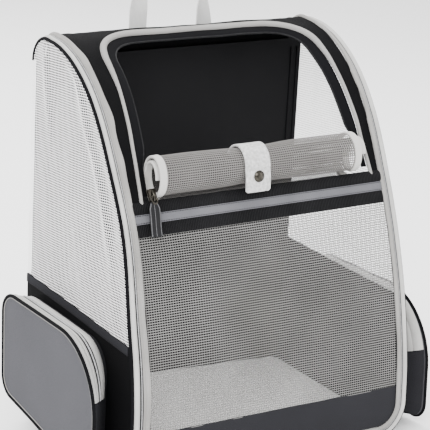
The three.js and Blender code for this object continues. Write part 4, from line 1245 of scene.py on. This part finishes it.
def makeRoll():
    line = rollLine()
    points = [point for point, wound in line]
    sums = lengthsAlong(points)
    outs = []
    for k in range(len(points)):
        along = directionAt(points, k)
        outs.append(Vector((0, -along.z, along.y)))
    hidden = roll["binding"] - roll["underBinding"]
    columns = int((roll["right"] - roll["left"] - 2 * hidden) / roll["netPitch"][0])
    rounds = []
    for share in spread(0, 1, columns):
        strand = []
        for point, wound in line:
            low, high = rollEnds(wound)
            strand.append(onRoll(mix(low + hidden, high - hidden, share), wound, point))
        rounds.append(strand)
    levels = []
    k = 0
    for step in range(int(sums[-1] / roll["netPitch"][1])):
        length = step * roll["netPitch"][1]
        while k < len(sums) - 2 and sums[k + 1] < length:
            k += 1
        share = (length - sums[k]) / (sums[k + 1] - sums[k])
        point, out = points[k].lerp(points[k + 1], share), outs[k].lerp(outs[k + 1], share).normalized()
        wound = mix(line[k][1], line[k + 1][1], share)
        low, high = rollEnds(wound)
        strand = [onRoll(x, wound, point) + out * 0.1 for x in spread(low + hidden, high - hidden, 36)]
        levels.append((strand, [out] * len(strand)))

    # the outer turn and the core are sheets of their own; the core takes the roll's net painted darker, as
    # painted shade inside the roll
    split = next(k for k, (point, wound) in enumerate(line) if wound > roll["outerTurn"])
    outerLevels = sum(1 for step in range(len(levels)) if step * roll["netPitch"][1] < sums[split])
    outer = [(strand[:split + 1], outs[:split + 1]) for strand in rounds]
    inner = [(strand[split:], outs[split:]) for strand in rounds]
    net = joinPieces("rolledFlap", [strands("rollRounds", outer, *roll["round"], sides=5),
                                    strands("rollLevels", levels[:outerLevels], *roll["across"])])
    give(net, "rollNet", "front_net", "rolled_flap")
    core = joinPieces("rolledFlapCore", [strands("coreRounds", inner, *roll["coreRound"], sides=5),
                                         strands("coreLevels", levels[outerLevels:], *roll["coreAcross"])])
    # painted shade: the core's strands are painted darker than the outer turn's
    give(core, "rollInner", "front_net")
    for side in (-1, 1):
        rows = [[onRoll(rollEnds(wound)[side > 0] - side * roll["binding"] * share, wound, point)
                 for point, wound in line] for share in spread(0, 1, 5)]
        binding = clothSheet("flapBinding" + sideWord(side), rows, roll["bindingThick"], softEdge=0.9)
        give(binding, "lightBinding", "light_tape", "flap_binding_" + sideWord(side).lower())


strap = {
    "width": 29.0,
    "thick": 2.2,
    "middle": -12.0,
    "foot": 278.0,
    "root": 202.0,
    "lift": 1.3,
    "cup": 0.5,
    "steps": 60,
    "cornerRadius": 2.2,
    "snapHeight": 294.0,
    # the cap's profile: radius and height in mm
    "cap": [(0, 2.7), (1.8, 2.6), (3.3, 2.2), (4.4, 1.5), (5.0, 0.8), (5.25, 0.6), (5.6, 0.75), (5.95, 0.5),
            (6.0, 0.0), (0, 0.0)],
}


def makeStrap():
    points = [aroundRoll(angle, strap["lift"] - woundIn(angle))
              for angle in spread(math.radians(strap["root"]), 0, 34)]
    foot = Vector((0, points[-1].y - 0.6, strap["foot"]))
    knee = points[-1].lerp(foot, 0.45) + Vector((0, -0.9, 0))
    points += [points[-1].lerp(knee, 0.5), knee, knee.lerp(foot, 0.5), foot]
    path = evenPoints(splinePoints(points, perSpan=4), strap["steps"])
    rows = []
    for point in path:
        # the free end has small round corners
        corner = strap["cornerRadius"]
        reach = (path[-1] - point).length
        cut = corner - math.sqrt(max(corner ** 2 - (corner - reach) ** 2, 0)) if reach < corner else 0
        half = strap["width"] / 2 - cut
        rows.append([Vector((strap["middle"] + half * share, 0, 0)) + point
                     + Vector((0, -strap["cup"] * (1 - share * share), 0)) for share in spread(-1, 1, 12)])
    leather = clothSheet("snapStrap", rows, strap["thick"], softEdge=0.5)
    give(leather, "leather", "strap_leather", "snap_strap")

    ahead = [p for p in path if p.y < rollCentre.y]
    face = min(ahead, key=lambda p: abs(p.z - strap["snapHeight"]))
    rows = []
    for radius, high in strap["cap"]:
        rows.append([Vector((strap["middle"] + radius * math.cos(a), face.y - 1.6 - high,
                             strap["snapHeight"] + radius * math.sin(a)))
                     for a in spread(0, 2 * math.pi, 40)])
    cap = sheetGrid("snapCap", rows)
    inEditMode(cap, weld, faceOut)
    smoothShade(50)
    give(cap, "darkNickel", "dark_nickel", "snap_cap")


makeRoll()
makeStrap()
print("rolled flap done")


# the window zip's slider and its ribbon pull

slider = {
    # it is parked beside the window's left leg: the leg's place, and the gap to it
    "legX": 135.0,
    "legGap": 2.9,
    "width": 8.6,
    "length": 14.0,
    "foot": 6.2,
    "corner": 2.2,
    "plate": 1.3,
    "gap": 1.8,
    "postRadius": 1.3,
    "archRadius": 0.95,
    "linkRadius": 0.8,
    "pullWidth": 11.0,
    "pullLength": 33.0,
    "pullThick": 2.2,
    "pullHang": 6.0,
    # the ribbon's narrow top as a share of its width, and its lean to the left at the top and in all
    "pullTop": 0.62,
    "lean": (1.6, 2.2),
    # places of its light cords as shares of half its width, and how deep the middle one lies
    "cords": [(-0.93, 0), (0.0, 0.5), (0.93, 0)],
    "cordRadius": 0.6,
}
sliderX = slider["legGap"] + slider["width"] / 2 - slider["legX"]


def onFront(x, z, across, up, out):
    # a small piece's own across, up and out, laid on the front at a height
    place, normal = outlineAt(lengthAtHeight(z))
    upward = Vector((0, normal.z, -normal.y))
    return Vector((x + across, 0, 0)) + place + upward * up + normal * (body["frontRise"] + out)


def roundedRing(topWidth, footWidth, length, corner, steps=6):
    # a closed outline of (across, up): a plate that may narrow towards its foot
    line = []
    for cx, cy, turn in ((1, 1, 0), (-1, 1, 90), (-1, -1, 180), (1, -1, 270)):
        half = (topWidth if cy > 0 else footWidth) / 2
        centre = (cx * (half - corner), cy * (length / 2 - corner))
        for a in spread(math.radians(turn), math.radians(turn + 90), steps):
            line.append((centre[0] + corner * math.cos(a), centre[1] + corner * math.sin(a)))
    return [*line, line[0]]


def makeSlider():
    z = outlineAt(windowFoot)[0].z + slider["length"] / 2 + 0.3
    plate = roundedRing(slider["width"], slider["foot"], slider["length"], slider["corner"])
    parts = []
    for out in (0.4, 0.4 + slider["gap"] + slider["plate"]):
        rows = [[onFront(sliderX, z, a * share, u * share, out) for a, u in plate]
                for share in spread(0, 1, 6)]
        parts.append(clothSheet("sliderPlate", rows, slider["plate"], softEdge=0.35, segments=3, welded=True))
    post = [onFront(sliderX, z, 0, 4.4, d) for d in spread(0.2, 3.6, 4)]
    parts.append(tube("sliderPost", post, slider["postRadius"], sides=12))
    arch = [onFront(sliderX, z, 0, 5.2 * math.cos(a) - 0.5, 3.4 + 2.6 * math.sin(a))
            for a in spread(0, math.pi, 16)]
    parts.append(tube("sliderArch", arch, slider["archRadius"], sides=10))
    link = [onFront(sliderX, z, 2.9 * math.cos(a), -4.2 + 4.0 * math.sin(a), 5.3 - 0.5 * math.sin(a))
            for a in spread(0, 2 * math.pi, 30)[:-1]]
    parts.append(tube("sliderLink", link, slider["linkRadius"], sides=10, closed=True))
    give(joinPieces("zipSlider", parts), "darkNickel", "dark_nickel", "zip_slider")

    long = slider["pullLength"]

    def onPull(share, down, out):
        # the ribbon pinches where it loops through the link, and leans to the left
        narrow = mix(slider["pullTop"], 1, smooth(0, 7, down))
        lean = -slider["lean"][0] - slider["lean"][1] * smooth(0, long, down)
        across = share * slider["pullWidth"] / 2 * narrow + lean
        return onFront(sliderX, z - slider["pullHang"], across, -down, out + 0.6 * smooth(long, 0, down))

    rows = [[onPull(share, down, 4.2 - 0.7 * math.exp(-(share / 0.16) ** 2)) for share in spread(-1, 1, 12)]
            for down in spread(0, long, 40)]
    ribbon = clothSheet("zipPull", rows, slider["pullThick"], softEdge=0.7)
    give(ribbon, "ribbon", "pull_ribbon", "zip_pull")
    for k, (share, deep) in enumerate(slider["cords"]):
        line = [onPull(share, down, 5.0 - deep) for down in spread(1, long - 0.5, 40)]
        give(tube("pullEdge" + str(k), line, slider["cordRadius"], sides=8), "greyThread", "light_tape")


makeSlider()
print("slider and pull done")


# the side pockets

pocket = {
    "reach": 198.0,
    "height": 143.0,
    "front": -108.0,
    "foot": 15.0,
    "standOff": 38.0,
    "gap": 0.3,
    "thick": 1.6,
    # the face's swell and ripple, and the gusset's slack
    "bulge": 2.2,
    "ripple": 0.7,
    "slack": 1.3,
    "pipingRadius": 1.7,
    "cordRadius": 0.4,
    "cordInset": 2.6,
    "rightDrop": 11.0,
    "rightBack": 6.0,
    # along and up are shares of the pocket's reach and height, radius a share of its reach
    "face": [(0, 0, 0.09), (1, 0.24, 0.11), (1, 1, 0.11), (0, 0.95, 0.38)],
    "root": [(0.21, 0.05, 0.07), (1.03, 0.22, 0.09), (1.03, 0.91, 0.08), (0.21, 0.85, 0.18)],
    "cornerSteps": 16,
    "edgeSteps": 14,
    # the zip tape's edges as shares of the gusset, its steps, and its slanting foot
    "tapeSpan": (0.12, 0.934),
    "tapeSteps": 70,
    "tapeThick": 1.0,
    "tapeFootZ": 98.0,
    "tapeFootSlant": 12.0,
    # across the zip tape: share of its width and height above the gusset
    "tape": [(0, -0.2), (0.02, 0.8), (0.08, 1.8), (0.2, 2.4), (0.31, 1.7), (0.36, 0.9), (0.375, 0.1),
             (0.605, 0.1), (0.62, 0.9), (0.67, 1.7), (0.72, 1.3), (0.75, -0.2), (0.78, 1.3), (0.88, 2.3),
             (0.97, 1.5), (1, -0.2)],
    # the floor under the teeth: the zip's tape, painted near black, partly as painted shade beside the coil
    "floorSpan": (0.37, 0.61),
    "floorThick": 0.5,
    "coilRadius": 1.25,
    "coilWaist": 0.75,
}
pocketFaceX = halfWidth + pocket["standOff"]


def sideX(z):
    # half width of the side at a height: it rounds below
    corner = body["lowerCorner"]
    drop = min(max(corner - z, 0), corner)
    return halfWidth - corner + math.sqrt(corner ** 2 - drop ** 2)


def pocketOutline(corners, inset):
    # points round a four-cornered outline, the same count on every outline, as (y, z)
    knots = [Vector((pocket["front"] + along * pocket["reach"], pocket["foot"] + up * pocket["height"]))
             for along, up, radius in corners]
    line = []
    for k, (along, up, share) in enumerate(corners):
        here, before, after = knots[k], knots[k - 1], knots[(k + 1) % 4]
        back, ahead = (before - here).normalized(), (after - here).normalized()
        half = math.acos(back.dot(ahead)) / 2
        radius = share * pocket["reach"]
        centre = here + (back + ahead).normalized() * (radius / math.sin(half))
        start = here + back * (radius / math.tan(half)) - centre
        end = here + ahead * (radius / math.tan(half)) - centre
        fromAngle = math.atan2(start.y, start.x)
        sweep = (math.atan2(end.y, end.x) - fromAngle + 3 * math.pi) % (2 * math.pi) - math.pi
        for a in spread(fromAngle, fromAngle + sweep, pocket["cornerSteps"]):
            line.append(Vector((math.cos(a), math.sin(a))) * (radius - inset) + centre)
    full = []
    perCorner = pocket["cornerSteps"] + 1
    for k, point in enumerate(line):
        full.append(point)
        if k % perCorner == perCorner - 1:
            following = line[(k + 1) % len(line)]
            full += [point.lerp(following, share) for share in spread(0, 1, pocket["edgeSteps"])[1:-1]]
    return full


pocketRoot = pocketOutline(pocket["root"], 0)
pocketRim = pocketOutline(pocket["face"], 0)


def gussetPoint(side, k, share, rise):
    # a point of the gusset: round the outline, across from the side to the face, and outwards
    count = len(pocketRoot)
    k %= count
    ends = []
    for j in (k, (k + 1) % count, (k - 1) % count):
        root, rim = pocketRoot[j], pocketRim[j]
        foot = Vector((sideX(root.y) + pocket["gap"], root.x, root.y))
        ends.append((foot, Vector((pocketFaceX, rim.x, rim.y))))
    across = ends[0][1] - ends[0][0]
    following, last = (pair[0].lerp(pair[1], share) for pair in ends[1:])
    normal = across.cross(following - last)
    normal.x = 0
    normal.normalize()
    point = ends[0][0] + across * share - normal * rise
    point.x = side * mix(sideX(point.z) + pocket["gap"], pocketFaceX, share)
    return point


def gussetAt(side, k, share, rise):
    low = math.floor(k)
    return gussetPoint(side, low, share, rise).lerp(gussetPoint(side, low + 1, share, rise), k - low)


def tapeEnd(side, share, first, last):
    # how far round the zip tape runs before it reaches its square foot
    low, high = first + 0.5 * (last - first), float(last + 14)
    for step in range(24):
        middle = (low + high) / 2
        if gussetAt(side, middle, share, 0).z > pocket["tapeFootZ"] - pocket["tapeFootSlant"] * (1 - share):
            low = middle
        else:
            high = middle
    return low


def hung(side, rows):
    # the right pocket hangs lower and further back in the picture
    if side < 0:
        return rows
    return [[p - Vector((0, -pocket["rightBack"], pocket["rightDrop"])) * smooth(150, 175, p.x)
             for p in row] for row in rows]


def pocketSlack(k, share):
    return pocket["slack"] * ripple(k * 0.09, share * 2, 4) * math.sin(math.pi * share)


def makePocket(side):
    word = sideWord(side)
    count = len(pocketRoot)
    rimShare = 1 - pocket["thick"] / pocket["standOff"]
    rows = [[gussetPoint(side, k, share, pocketSlack(k, share) - 0.8) for k in [*range(count), 0]]
            for share in spread(0, rimShare, 12)]
    gusset = clothSheet("pocketGusset" + word, hung(side, rows), pocket["thick"], welded=True)
    # painted light: the gusset takes the black canvas painted lighter
    give(gusset, "charcoalCanvas", "black_canvas", "pocket_gusset_" + word.lower())

    perCorner = pocket["cornerSteps"] + pocket["edgeSteps"]
    first, last = 2 * perCorner - 5, 3 * perCorner + pocket["cornerSteps"]
    low, high = pocket["tapeSpan"]
    alongs = spread(0, 1, pocket["tapeSteps"])
    ends = {share: tapeEnd(side, mix(low, high, share), first, last) for share, up in pocket["tape"]}
    rows = []
    for along in alongs:
        row = []
        for share, up in pocket["tape"]:
            k = mix(first, ends[share], along)
            row.append(gussetAt(side, k, mix(low, high, share), pocketSlack(k, share) * 0.4 + up * 0.9))
        rows.append(row)
    tape = clothSheet("pocketZipTape" + word, hung(side, rows), pocket["tapeThick"], offset=-1)
    give(tape, "lightTape", "light_tape", "pocket_zip_tape_" + word.lower())
    footK = tapeEnd(side, mix(low, high, 0.5), first, last)
    rows = [[gussetAt(side, mix(first, footK, along), mix(low, high, share), 0.45)
             for share in pocket["floorSpan"]] for along in alongs]
    floor = clothSheet("pocketZipFloorPaintedShade" + word, hung(side, rows), pocket["floorThick"])
    give(floor, "blackTeeth", "zip_teeth")
    line = [gussetAt(side, mix(first, footK, along), mix(low, high, 0.5), 0.8) for along in alongs]
    coil = zipCoil("pocketCoil" + word, hung(side, [line])[0], pocket["coilRadius"], pocket["coilWaist"])
    give(coil, "zipTeeth", "zip_teeth")

    ring = pocketOutline(pocket["face"], pocket["pipingRadius"] * 0.4)
    centre = sum(ring, Vector((0, 0))) / len(ring)
    ring.append(ring[0])
    rows = []
    for share in spread(1, 0, 16):
        row = []
        for p in ring:
            q = centre + (p - centre) * share
            swell = pocket["bulge"] * (1 - share ** 3)
            swell += pocket["ripple"] * ripple(q.x * 0.02, q.y * 0.02, side * 3) * (1 - share ** 4)
            row.append(Vector((side * (pocketFaceX - 0.8 + swell), q.x, q.y)))
        rows.append(row)
    face = clothSheet("pocketFace" + word, hung(side, rows), pocket["thick"], welded=True)
    give(face, "greyCanvas", "grey_canvas", "pocket_face_" + word.lower())

    line = [Vector((side * (pocketFaceX + 0.2), p.x, p.y)) for p in pocketRim]
    piping = tube("pocketPiping" + word, hung(side, [line])[0], pocket["pipingRadius"], sides=12, closed=True)
    give(piping, "blackPiping", "black_piping", "pocket_piping_" + word.lower())
    # a thin light cord lies just inside the piping
    ring = pocketOutline(pocket["face"], pocket["cordInset"])
    line = [Vector((side * (pocketFaceX + 0.5), p.x, p.y)) for p in ring]
    cord = tube("pocketCord" + word, hung(side, [line])[0], pocket["cordRadius"], sides=8, closed=True)
    give(cord, "greyBinding", "light_tape")


for side in (-1, 1):
    makePocket(side)
print("pockets done")


# the carrying handle

handle = {
    "spacing": 82.0,
    "rise": 74.0,
    "footLength": 26.0,
    "width": 21.0,
    "thick": 1.9,
    # off the back, and the step's height past the top panel
    "lift": 1.3,
    "step": 0.3,
    # across and up are shares of half the spacing and of the loop's rise, turn in degrees, off the step
    # outwards over the top panel's edge; the feet end at an up of -0.3
    "route": [(-1, -0.3, 0, 0), (-1, -0.18, 0, 0.14), (-1, -0.05, 0, 1), (-1, 0.25, 0, 1),
              (-0.99, 0.45, 0, 1), (-0.93, 0.66, 22, 1), (-0.72, 0.87, 64, 1), (-0.4, 0.985, 86, 1),
              (0, 1, 90, 1), (0.4, 0.975, 92, 1), (0.7, 0.84, 104, 1), (0.87, 0.64, 128, 1),
              (0.95, 0.42, 158, 1), (1, 0.2, 176, 1), (1, -0.05, 180, 1), (1, -0.18, 180, 0.14),
              (1, -0.3, 180, 0)],
    "perSpan": 10,
}


def makeHandle():
    loopRise = height + handle["rise"] - rearArcZ
    outwards = body["frontRise"] + handle["step"]
    knots, turns = [], []
    for across, up, turn, off in handle["route"]:
        along = up / 0.3 * handle["footLength"] if up < 0 else up * loopRise
        knots.append(backUp * (rearArcZ * backStretch + along)
                     + Vector((across * handle["spacing"] / 2, halfDepth, 0))
                     + backNormal * (handle["lift"] + off * outwards))
        turns.append(turn)
    line = splinePoints(knots, perSpan=handle["perSpan"])
    rows = []
    for k, point in enumerate(line):
        at = min(k / handle["perSpan"], len(knots) - 1)
        index = min(int(at), len(knots) - 2)
        turn = math.radians(mix(turns[index], turns[index + 1], at - index))
        flat = backNormal.cross(directionAt(line, k)).normalized()
        edge = (flat * math.cos(turn) + backNormal * math.sin(turn)).normalized()
        rows.append([point + edge * w for w in spread(-handle["width"] / 2, handle["width"] / 2, 10)])
    webbing = clothSheet("carryHandle", rows, handle["thick"], softEdge=0.5)
    give(webbing, "lightWebbing", "light_webbing", "carry_handle")
    for foot, word in ((rows[:12], "Left"), (rows[-12:], "Right")):
        # a box of stitches holds each foot to the back
        corners = [foot[1][1], foot[1][-2], foot[8][-2], foot[8][1], foot[1][1]]
        line = [p + backNormal * 1.1 for a, b in zip(corners, corners[1:])
                for p in evenPoints([a, b], 8)[:-1]]
        stitches("handleStitch" + word, [*line, line[0]], "paleThread", "light_webbing", thread=0.35)


makeHandle()
print("handle done")


# the back: padded panel, base, floor mat, shoulder straps

back = {
    "pad": 8.0,
    "baseThick": 5.0,
    "columns": 60,
    "rowCount": 70,
    "frontPuff": 0.5,
    "rearPuff": 3.0,
    "ripple": 0.25,
    # sewn channels that run up the wearer's side: places as shares of half the width, and their width
    "channels": (-0.36, 0.36),
    "channelWidth": 5.5,
    "edgeGap": 3.0,
    # seams up the inner side
    "seams": (-157, -149, 149, 157),
    "seamRadius": 0.7,
}


def backPlace(x, up, out):
    return Vector((x, halfDepth, 0)) + backUp * up + backNormal * out


def backHalf(up):
    # half width of the back at a height: it rounds below as the sides do
    corner = body["lowerCorner"]
    radius = corner - 2.6
    drop = min(max(corner - up, 0), radius)
    return halfWidth - corner + math.sqrt(radius ** 2 - drop ** 2)


def backPuff(share, tall):
    # how full the pad is, from its width's and its height's share
    near = min(abs(share - channel) for channel in back["channels"]) * halfWidth
    full = 1 - math.exp(-(near / back["channelWidth"]) ** 2)
    return full * min(smooth(0, 0.07, 1 - abs(share)), smooth(0, 0.06, tall), smooth(0, 0.05, 1 - tall))


def closedPad(name, outer, inner):
    # two open sheets, bridged round their rims
    pad = joinPieces(name, [sheetGrid(name + "Outer", outer), sheetGrid(name + "Inner", inner)])
    inEditMode(pad, bridgeRims, faceOut)
    smoothShade(60)
    return pad


def makeBackPanel():
    foot = (back["baseThick"] + 0.5) * backStretch
    top = rearArcZ * backStretch + 3.5
    surfaces = []
    for out, puff, sign in ((-0.4, back["rearPuff"], 1), (-back["pad"] + 0.6, back["frontPuff"], -1)):
        rows = []
        for up in spread(foot, top, back["rowCount"]):
            row = []
            for share in spread(-1, 1, back["columns"]):
                x = share * backHalf(up)
                swell = backPuff(share, (up - foot) / (top - foot)) * puff
                swell += back["ripple"] * ripple(x * 0.03, up * 0.03, out)
                row.append(backPlace(x, up, out + sign * (swell - puff * 0.85)))
            rows.append(row)
        surfaces.append(rows)
    pad = closedPad("backPanel", *surfaces)
    give(pad, "innerCanvas", "black_canvas", "back_panel")
    for k, channel in enumerate(back["channels"]):
        x = channel * (halfWidth - back["edgeGap"])
        line = [backPlace(x, up, -2.3) for up in spread(foot + 12, top - 10, 60)]
        stitches("backStitch" + str(k), line, "blackThread", "black_canvas", thread=0.4, pitch=4)


def makeInnerSeams():
    for k, x in enumerate(back["seams"]):
        line = [backPlace(x, up, -back["pad"] - 0.1) for up in spread(60, rearArcZ * backStretch - 6, 50)]
        give(tube("innerSeam" + str(k), line, back["seamRadius"], sides=8), "blackPiping", "black_canvas")


def makeBase():
    frontY, rearY = -halfDepth + 3.5, backY(0) - 0.3
    half = halfWidth - body["lowerCorner"] - 0.3
    thick = back["baseThick"]
    deselect()
    bpy.ops.mesh.primitive_cube_add(size=1)
    base = bpy.context.object
    base.name = "basePanel"
    size = (2 * half * mm, (rearY - frontY) * mm, (thick - 0.1) * mm)
    middle = (0, (frontY + rearY) / 2 * mm, thick / 2 * mm)
    inEditMode(base, selectMesh, lambda: bpy.ops.transform.resize(value=size),
               lambda: bpy.ops.transform.translate(value=middle))
    edge = base.modifiers.new("softEdge", "BEVEL")
    edge.width = 1.2 * mm
    edge.segments = 3
    applyModifiers(base)
    smoothShade(40)
    give(base, "blackCanvas", "black_canvas", "base_panel")


mat = {
    "thick": 16.0,
    "half": 141.0,
    "frontGap": 8.5,
    "backGap": 13.5,
    "corner": 16.0,
    # rings from below to the seam, as inset and height in mm
    "under": [(8, 0.3), (2.4, 1.4), (0.6, 4)],
    # rings from the seam up, as inset and share of the thickness
    "over": [(0.0, 0.42), (0.9, 0.62), (2.4, 0.8), (5.0, 0.92), (9.0, 0.985)],
    # rings towards the middle, as shares of the last one
    "middle": (0.93, 0.82, 0.7, 0.55, 0.4, 0.25, 0.12, 0.02),
    "ripple": 0.9,
    "pipingRadius": 1.1,
    # its top widens and rises towards the rear, less on the right
    "widen": 0.06,
    "rearRise": 17.0,
    "rightShare": 0.55,
}


def matRise(p, low):
    up = smooth(low + 3, low + mat["thick"], p.z)
    rise = mat["rearRise"] * mix(1, mat["rightShare"], smooth(-60, 130, p.x))
    return Vector((p.x * (1 + mat["widen"] * up), p.y, p.z + up * smooth(-60, 95, p.y) * rise))


def makeMat():
    low, thick = back["baseThick"] + 0.3, mat["thick"]
    fromY = -halfDepth + mat["frontGap"]
    toY = backY(low + thick) - mat["backGap"]
    middleY, depth = (fromY + toY) / 2, toY - fromY

    def ring(inset, z, shrink=1.0):
        corner = max(mat["corner"] - inset, 1)
        wide = 2 * (mat["half"] - inset)
        corners = roundedRing(wide, wide, depth - 2 * inset, corner, 8)
        full = []
        for a, b in zip(corners, corners[1:]):
            full += [(mix(a[0], b[0], t), mix(a[1], b[1], t)) for t in spread(0, 1, 3)[:-1]]
        full.append(full[0])
        return [Vector((a * shrink, middleY + u * shrink, z)) for a, u in full]

    underInset, underUp = mat["under"][0]
    rows = [ring(underInset, low + underUp, share) for share in (0.02, 0.5)]
    rows += [ring(inset, low + up) for inset, up in mat["under"]]
    rows += [ring(inset, low + up * thick) for inset, up in mat["over"]]
    for share in mat["middle"]:
        row = ring(mat["over"][-1][0], low + thick, share)
        rows.append([p + Vector((0, 0, mat["ripple"] * noise.noise(p * 0.03))) for p in row])
    pad = sheetGrid("floorMat", [[matRise(p, low) for p in row] for row in rows])
    inEditMode(pad, weld, closeEnds, faceOut)
    smoothShade(70)
    give(pad, "fleece", "floor_fleece", "floor_mat")
    seam = [matRise(p, low) for p in ring(-0.2, low + mat["over"][0][1] * thick)][:-1]
    cord = tube("matPiping", seam, mat["pipingRadius"], sides=8, closed=True)
    give(cord, "lightBinding", "floor_fleece")


straps = {
    "standOff": 40.0,
    "padWidth": 54.0,
    "padThick": 8.0,
    "padSteps": 90,
    # share of its width at the pad's ends, and its sewn rim's thickness
    "padEnds": 0.84,
    "rimThick": 1.6,
    # the seams along the pad: place, width and depth as shares
    "seam": (0.62, 0.05, 0.35),
    "webWidth": 24.0,
    # the room the webbing has, and its own thickness
    "webRoom": 2.0,
    "webThick": 1.7,
    "webSteps": 60,
    "webLift": 3.2,
    "buckleHeight": 22.0,
    # height and place across as shares of the body, and the stand-off's share
    "pad": [(0.83, 0.3, 0), (0.8, 0.3, 0.02), (0.755, 0.32, 0.34), (0.68, 0.37, 0.76), (0.59, 0.42, 0.98),
            (0.5, 0.46, 1), (0.41, 0.49, 0.86), (0.33, 0.515, 0.62)],
    "web": [(0.225, 0.575, 0.36), (0.16, 0.61, 0.19), (0.1, 0.65, 0.03), (0.05, 0.68, 0)],
}


def strapKnots(route, side, thick):
    return [Vector((side * across * halfWidth, backY(up * height), up * height))
            + backNormal * (off * straps["standOff"] + 0.3 + thick / 2) for up, across, off in route]


def strapFace(line, k):
    # the strap's outward direction at a point of its line
    return Vector((1, 0, 0)).cross(directionAt(line, k)).normalized()


def makeShoulderStrap(side):
    word = sideWord(side)
    knots = strapKnots(straps["pad"], side, straps["padThick"])
    last = straps["padSteps"]
    line = evenPoints(splinePoints(knots), last)
    seamAt, seamWide, seamDeep = straps["seam"]
    outer, inner = [], []
    for k, point in enumerate(line):
        face = strapFace(line, k)
        # the pad narrows towards its ends and is sewn flat along its rim
        ends = min(smooth(0, 5, k), smooth(last, last - 5, k))
        full = min(smooth(0, 9, k), smooth(last, last - 10, k))
        wide = straps["padWidth"] / 2 * mix(straps["padEnds"], 1, full)
        rowOut, rowIn = [], []
        for share in spread(-1, 1, 20):
            rim = smooth(1, 0.78, abs(share)) * ends
            seam = 1 - seamDeep * math.exp(-((abs(share) - seamAt) / seamWide) ** 2)
            thickHere = mix(straps["rimThick"], straps["padThick"] * seam, rim)
            centre = point + Vector((share * wide, 0, 0))
            rowOut.append(centre + face * thickHere / 2)
            rowIn.append(centre - face * thickHere / 2)
        outer.append(rowOut)
        inner.append(rowIn)
    pad = closedPad("shoulderPad" + word, outer, inner)
    give(pad, "blackCanvas", "black_canvas", "shoulder_pad_" + word.lower())

    along = line[-1] - line[-3]
    along.x = 0
    along.normalize()
    start = line[-1] + along * (straps["buckleHeight"] + 0.6)
    knots = [line[-1] + along * 8, start, *strapKnots(straps["web"], side, straps["webRoom"])]
    path = evenPoints(splinePoints(knots), straps["webSteps"])
    half = straps["webWidth"] / 2
    rows = [[point + strapFace(path, k) * straps["webLift"] * smooth(14, 4, k) + Vector((w, 0, 0))
             for w in spread(-half, half, 8)] for k, point in enumerate(path)]
    webbing = clothSheet("strapWebbing" + word, rows, straps["webThick"], softEdge=0.4)
    give(webbing, "blackWebbing", "black_webbing", "strap_webbing_" + word.lower())


makeBackPanel()
makeInnerSeams()
makeBase()
makeMat()
for side in (-1, 1):
    makeShoulderStrap(side)
print("back, base, mat and straps done")


# carried-over solids take a finish of their own

for node in ("strap_buckle_left", "strap_buckle_right"):
    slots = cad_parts[node].data.materials
    slots.clear()
    slots.append(finishes["blackPlastic"])
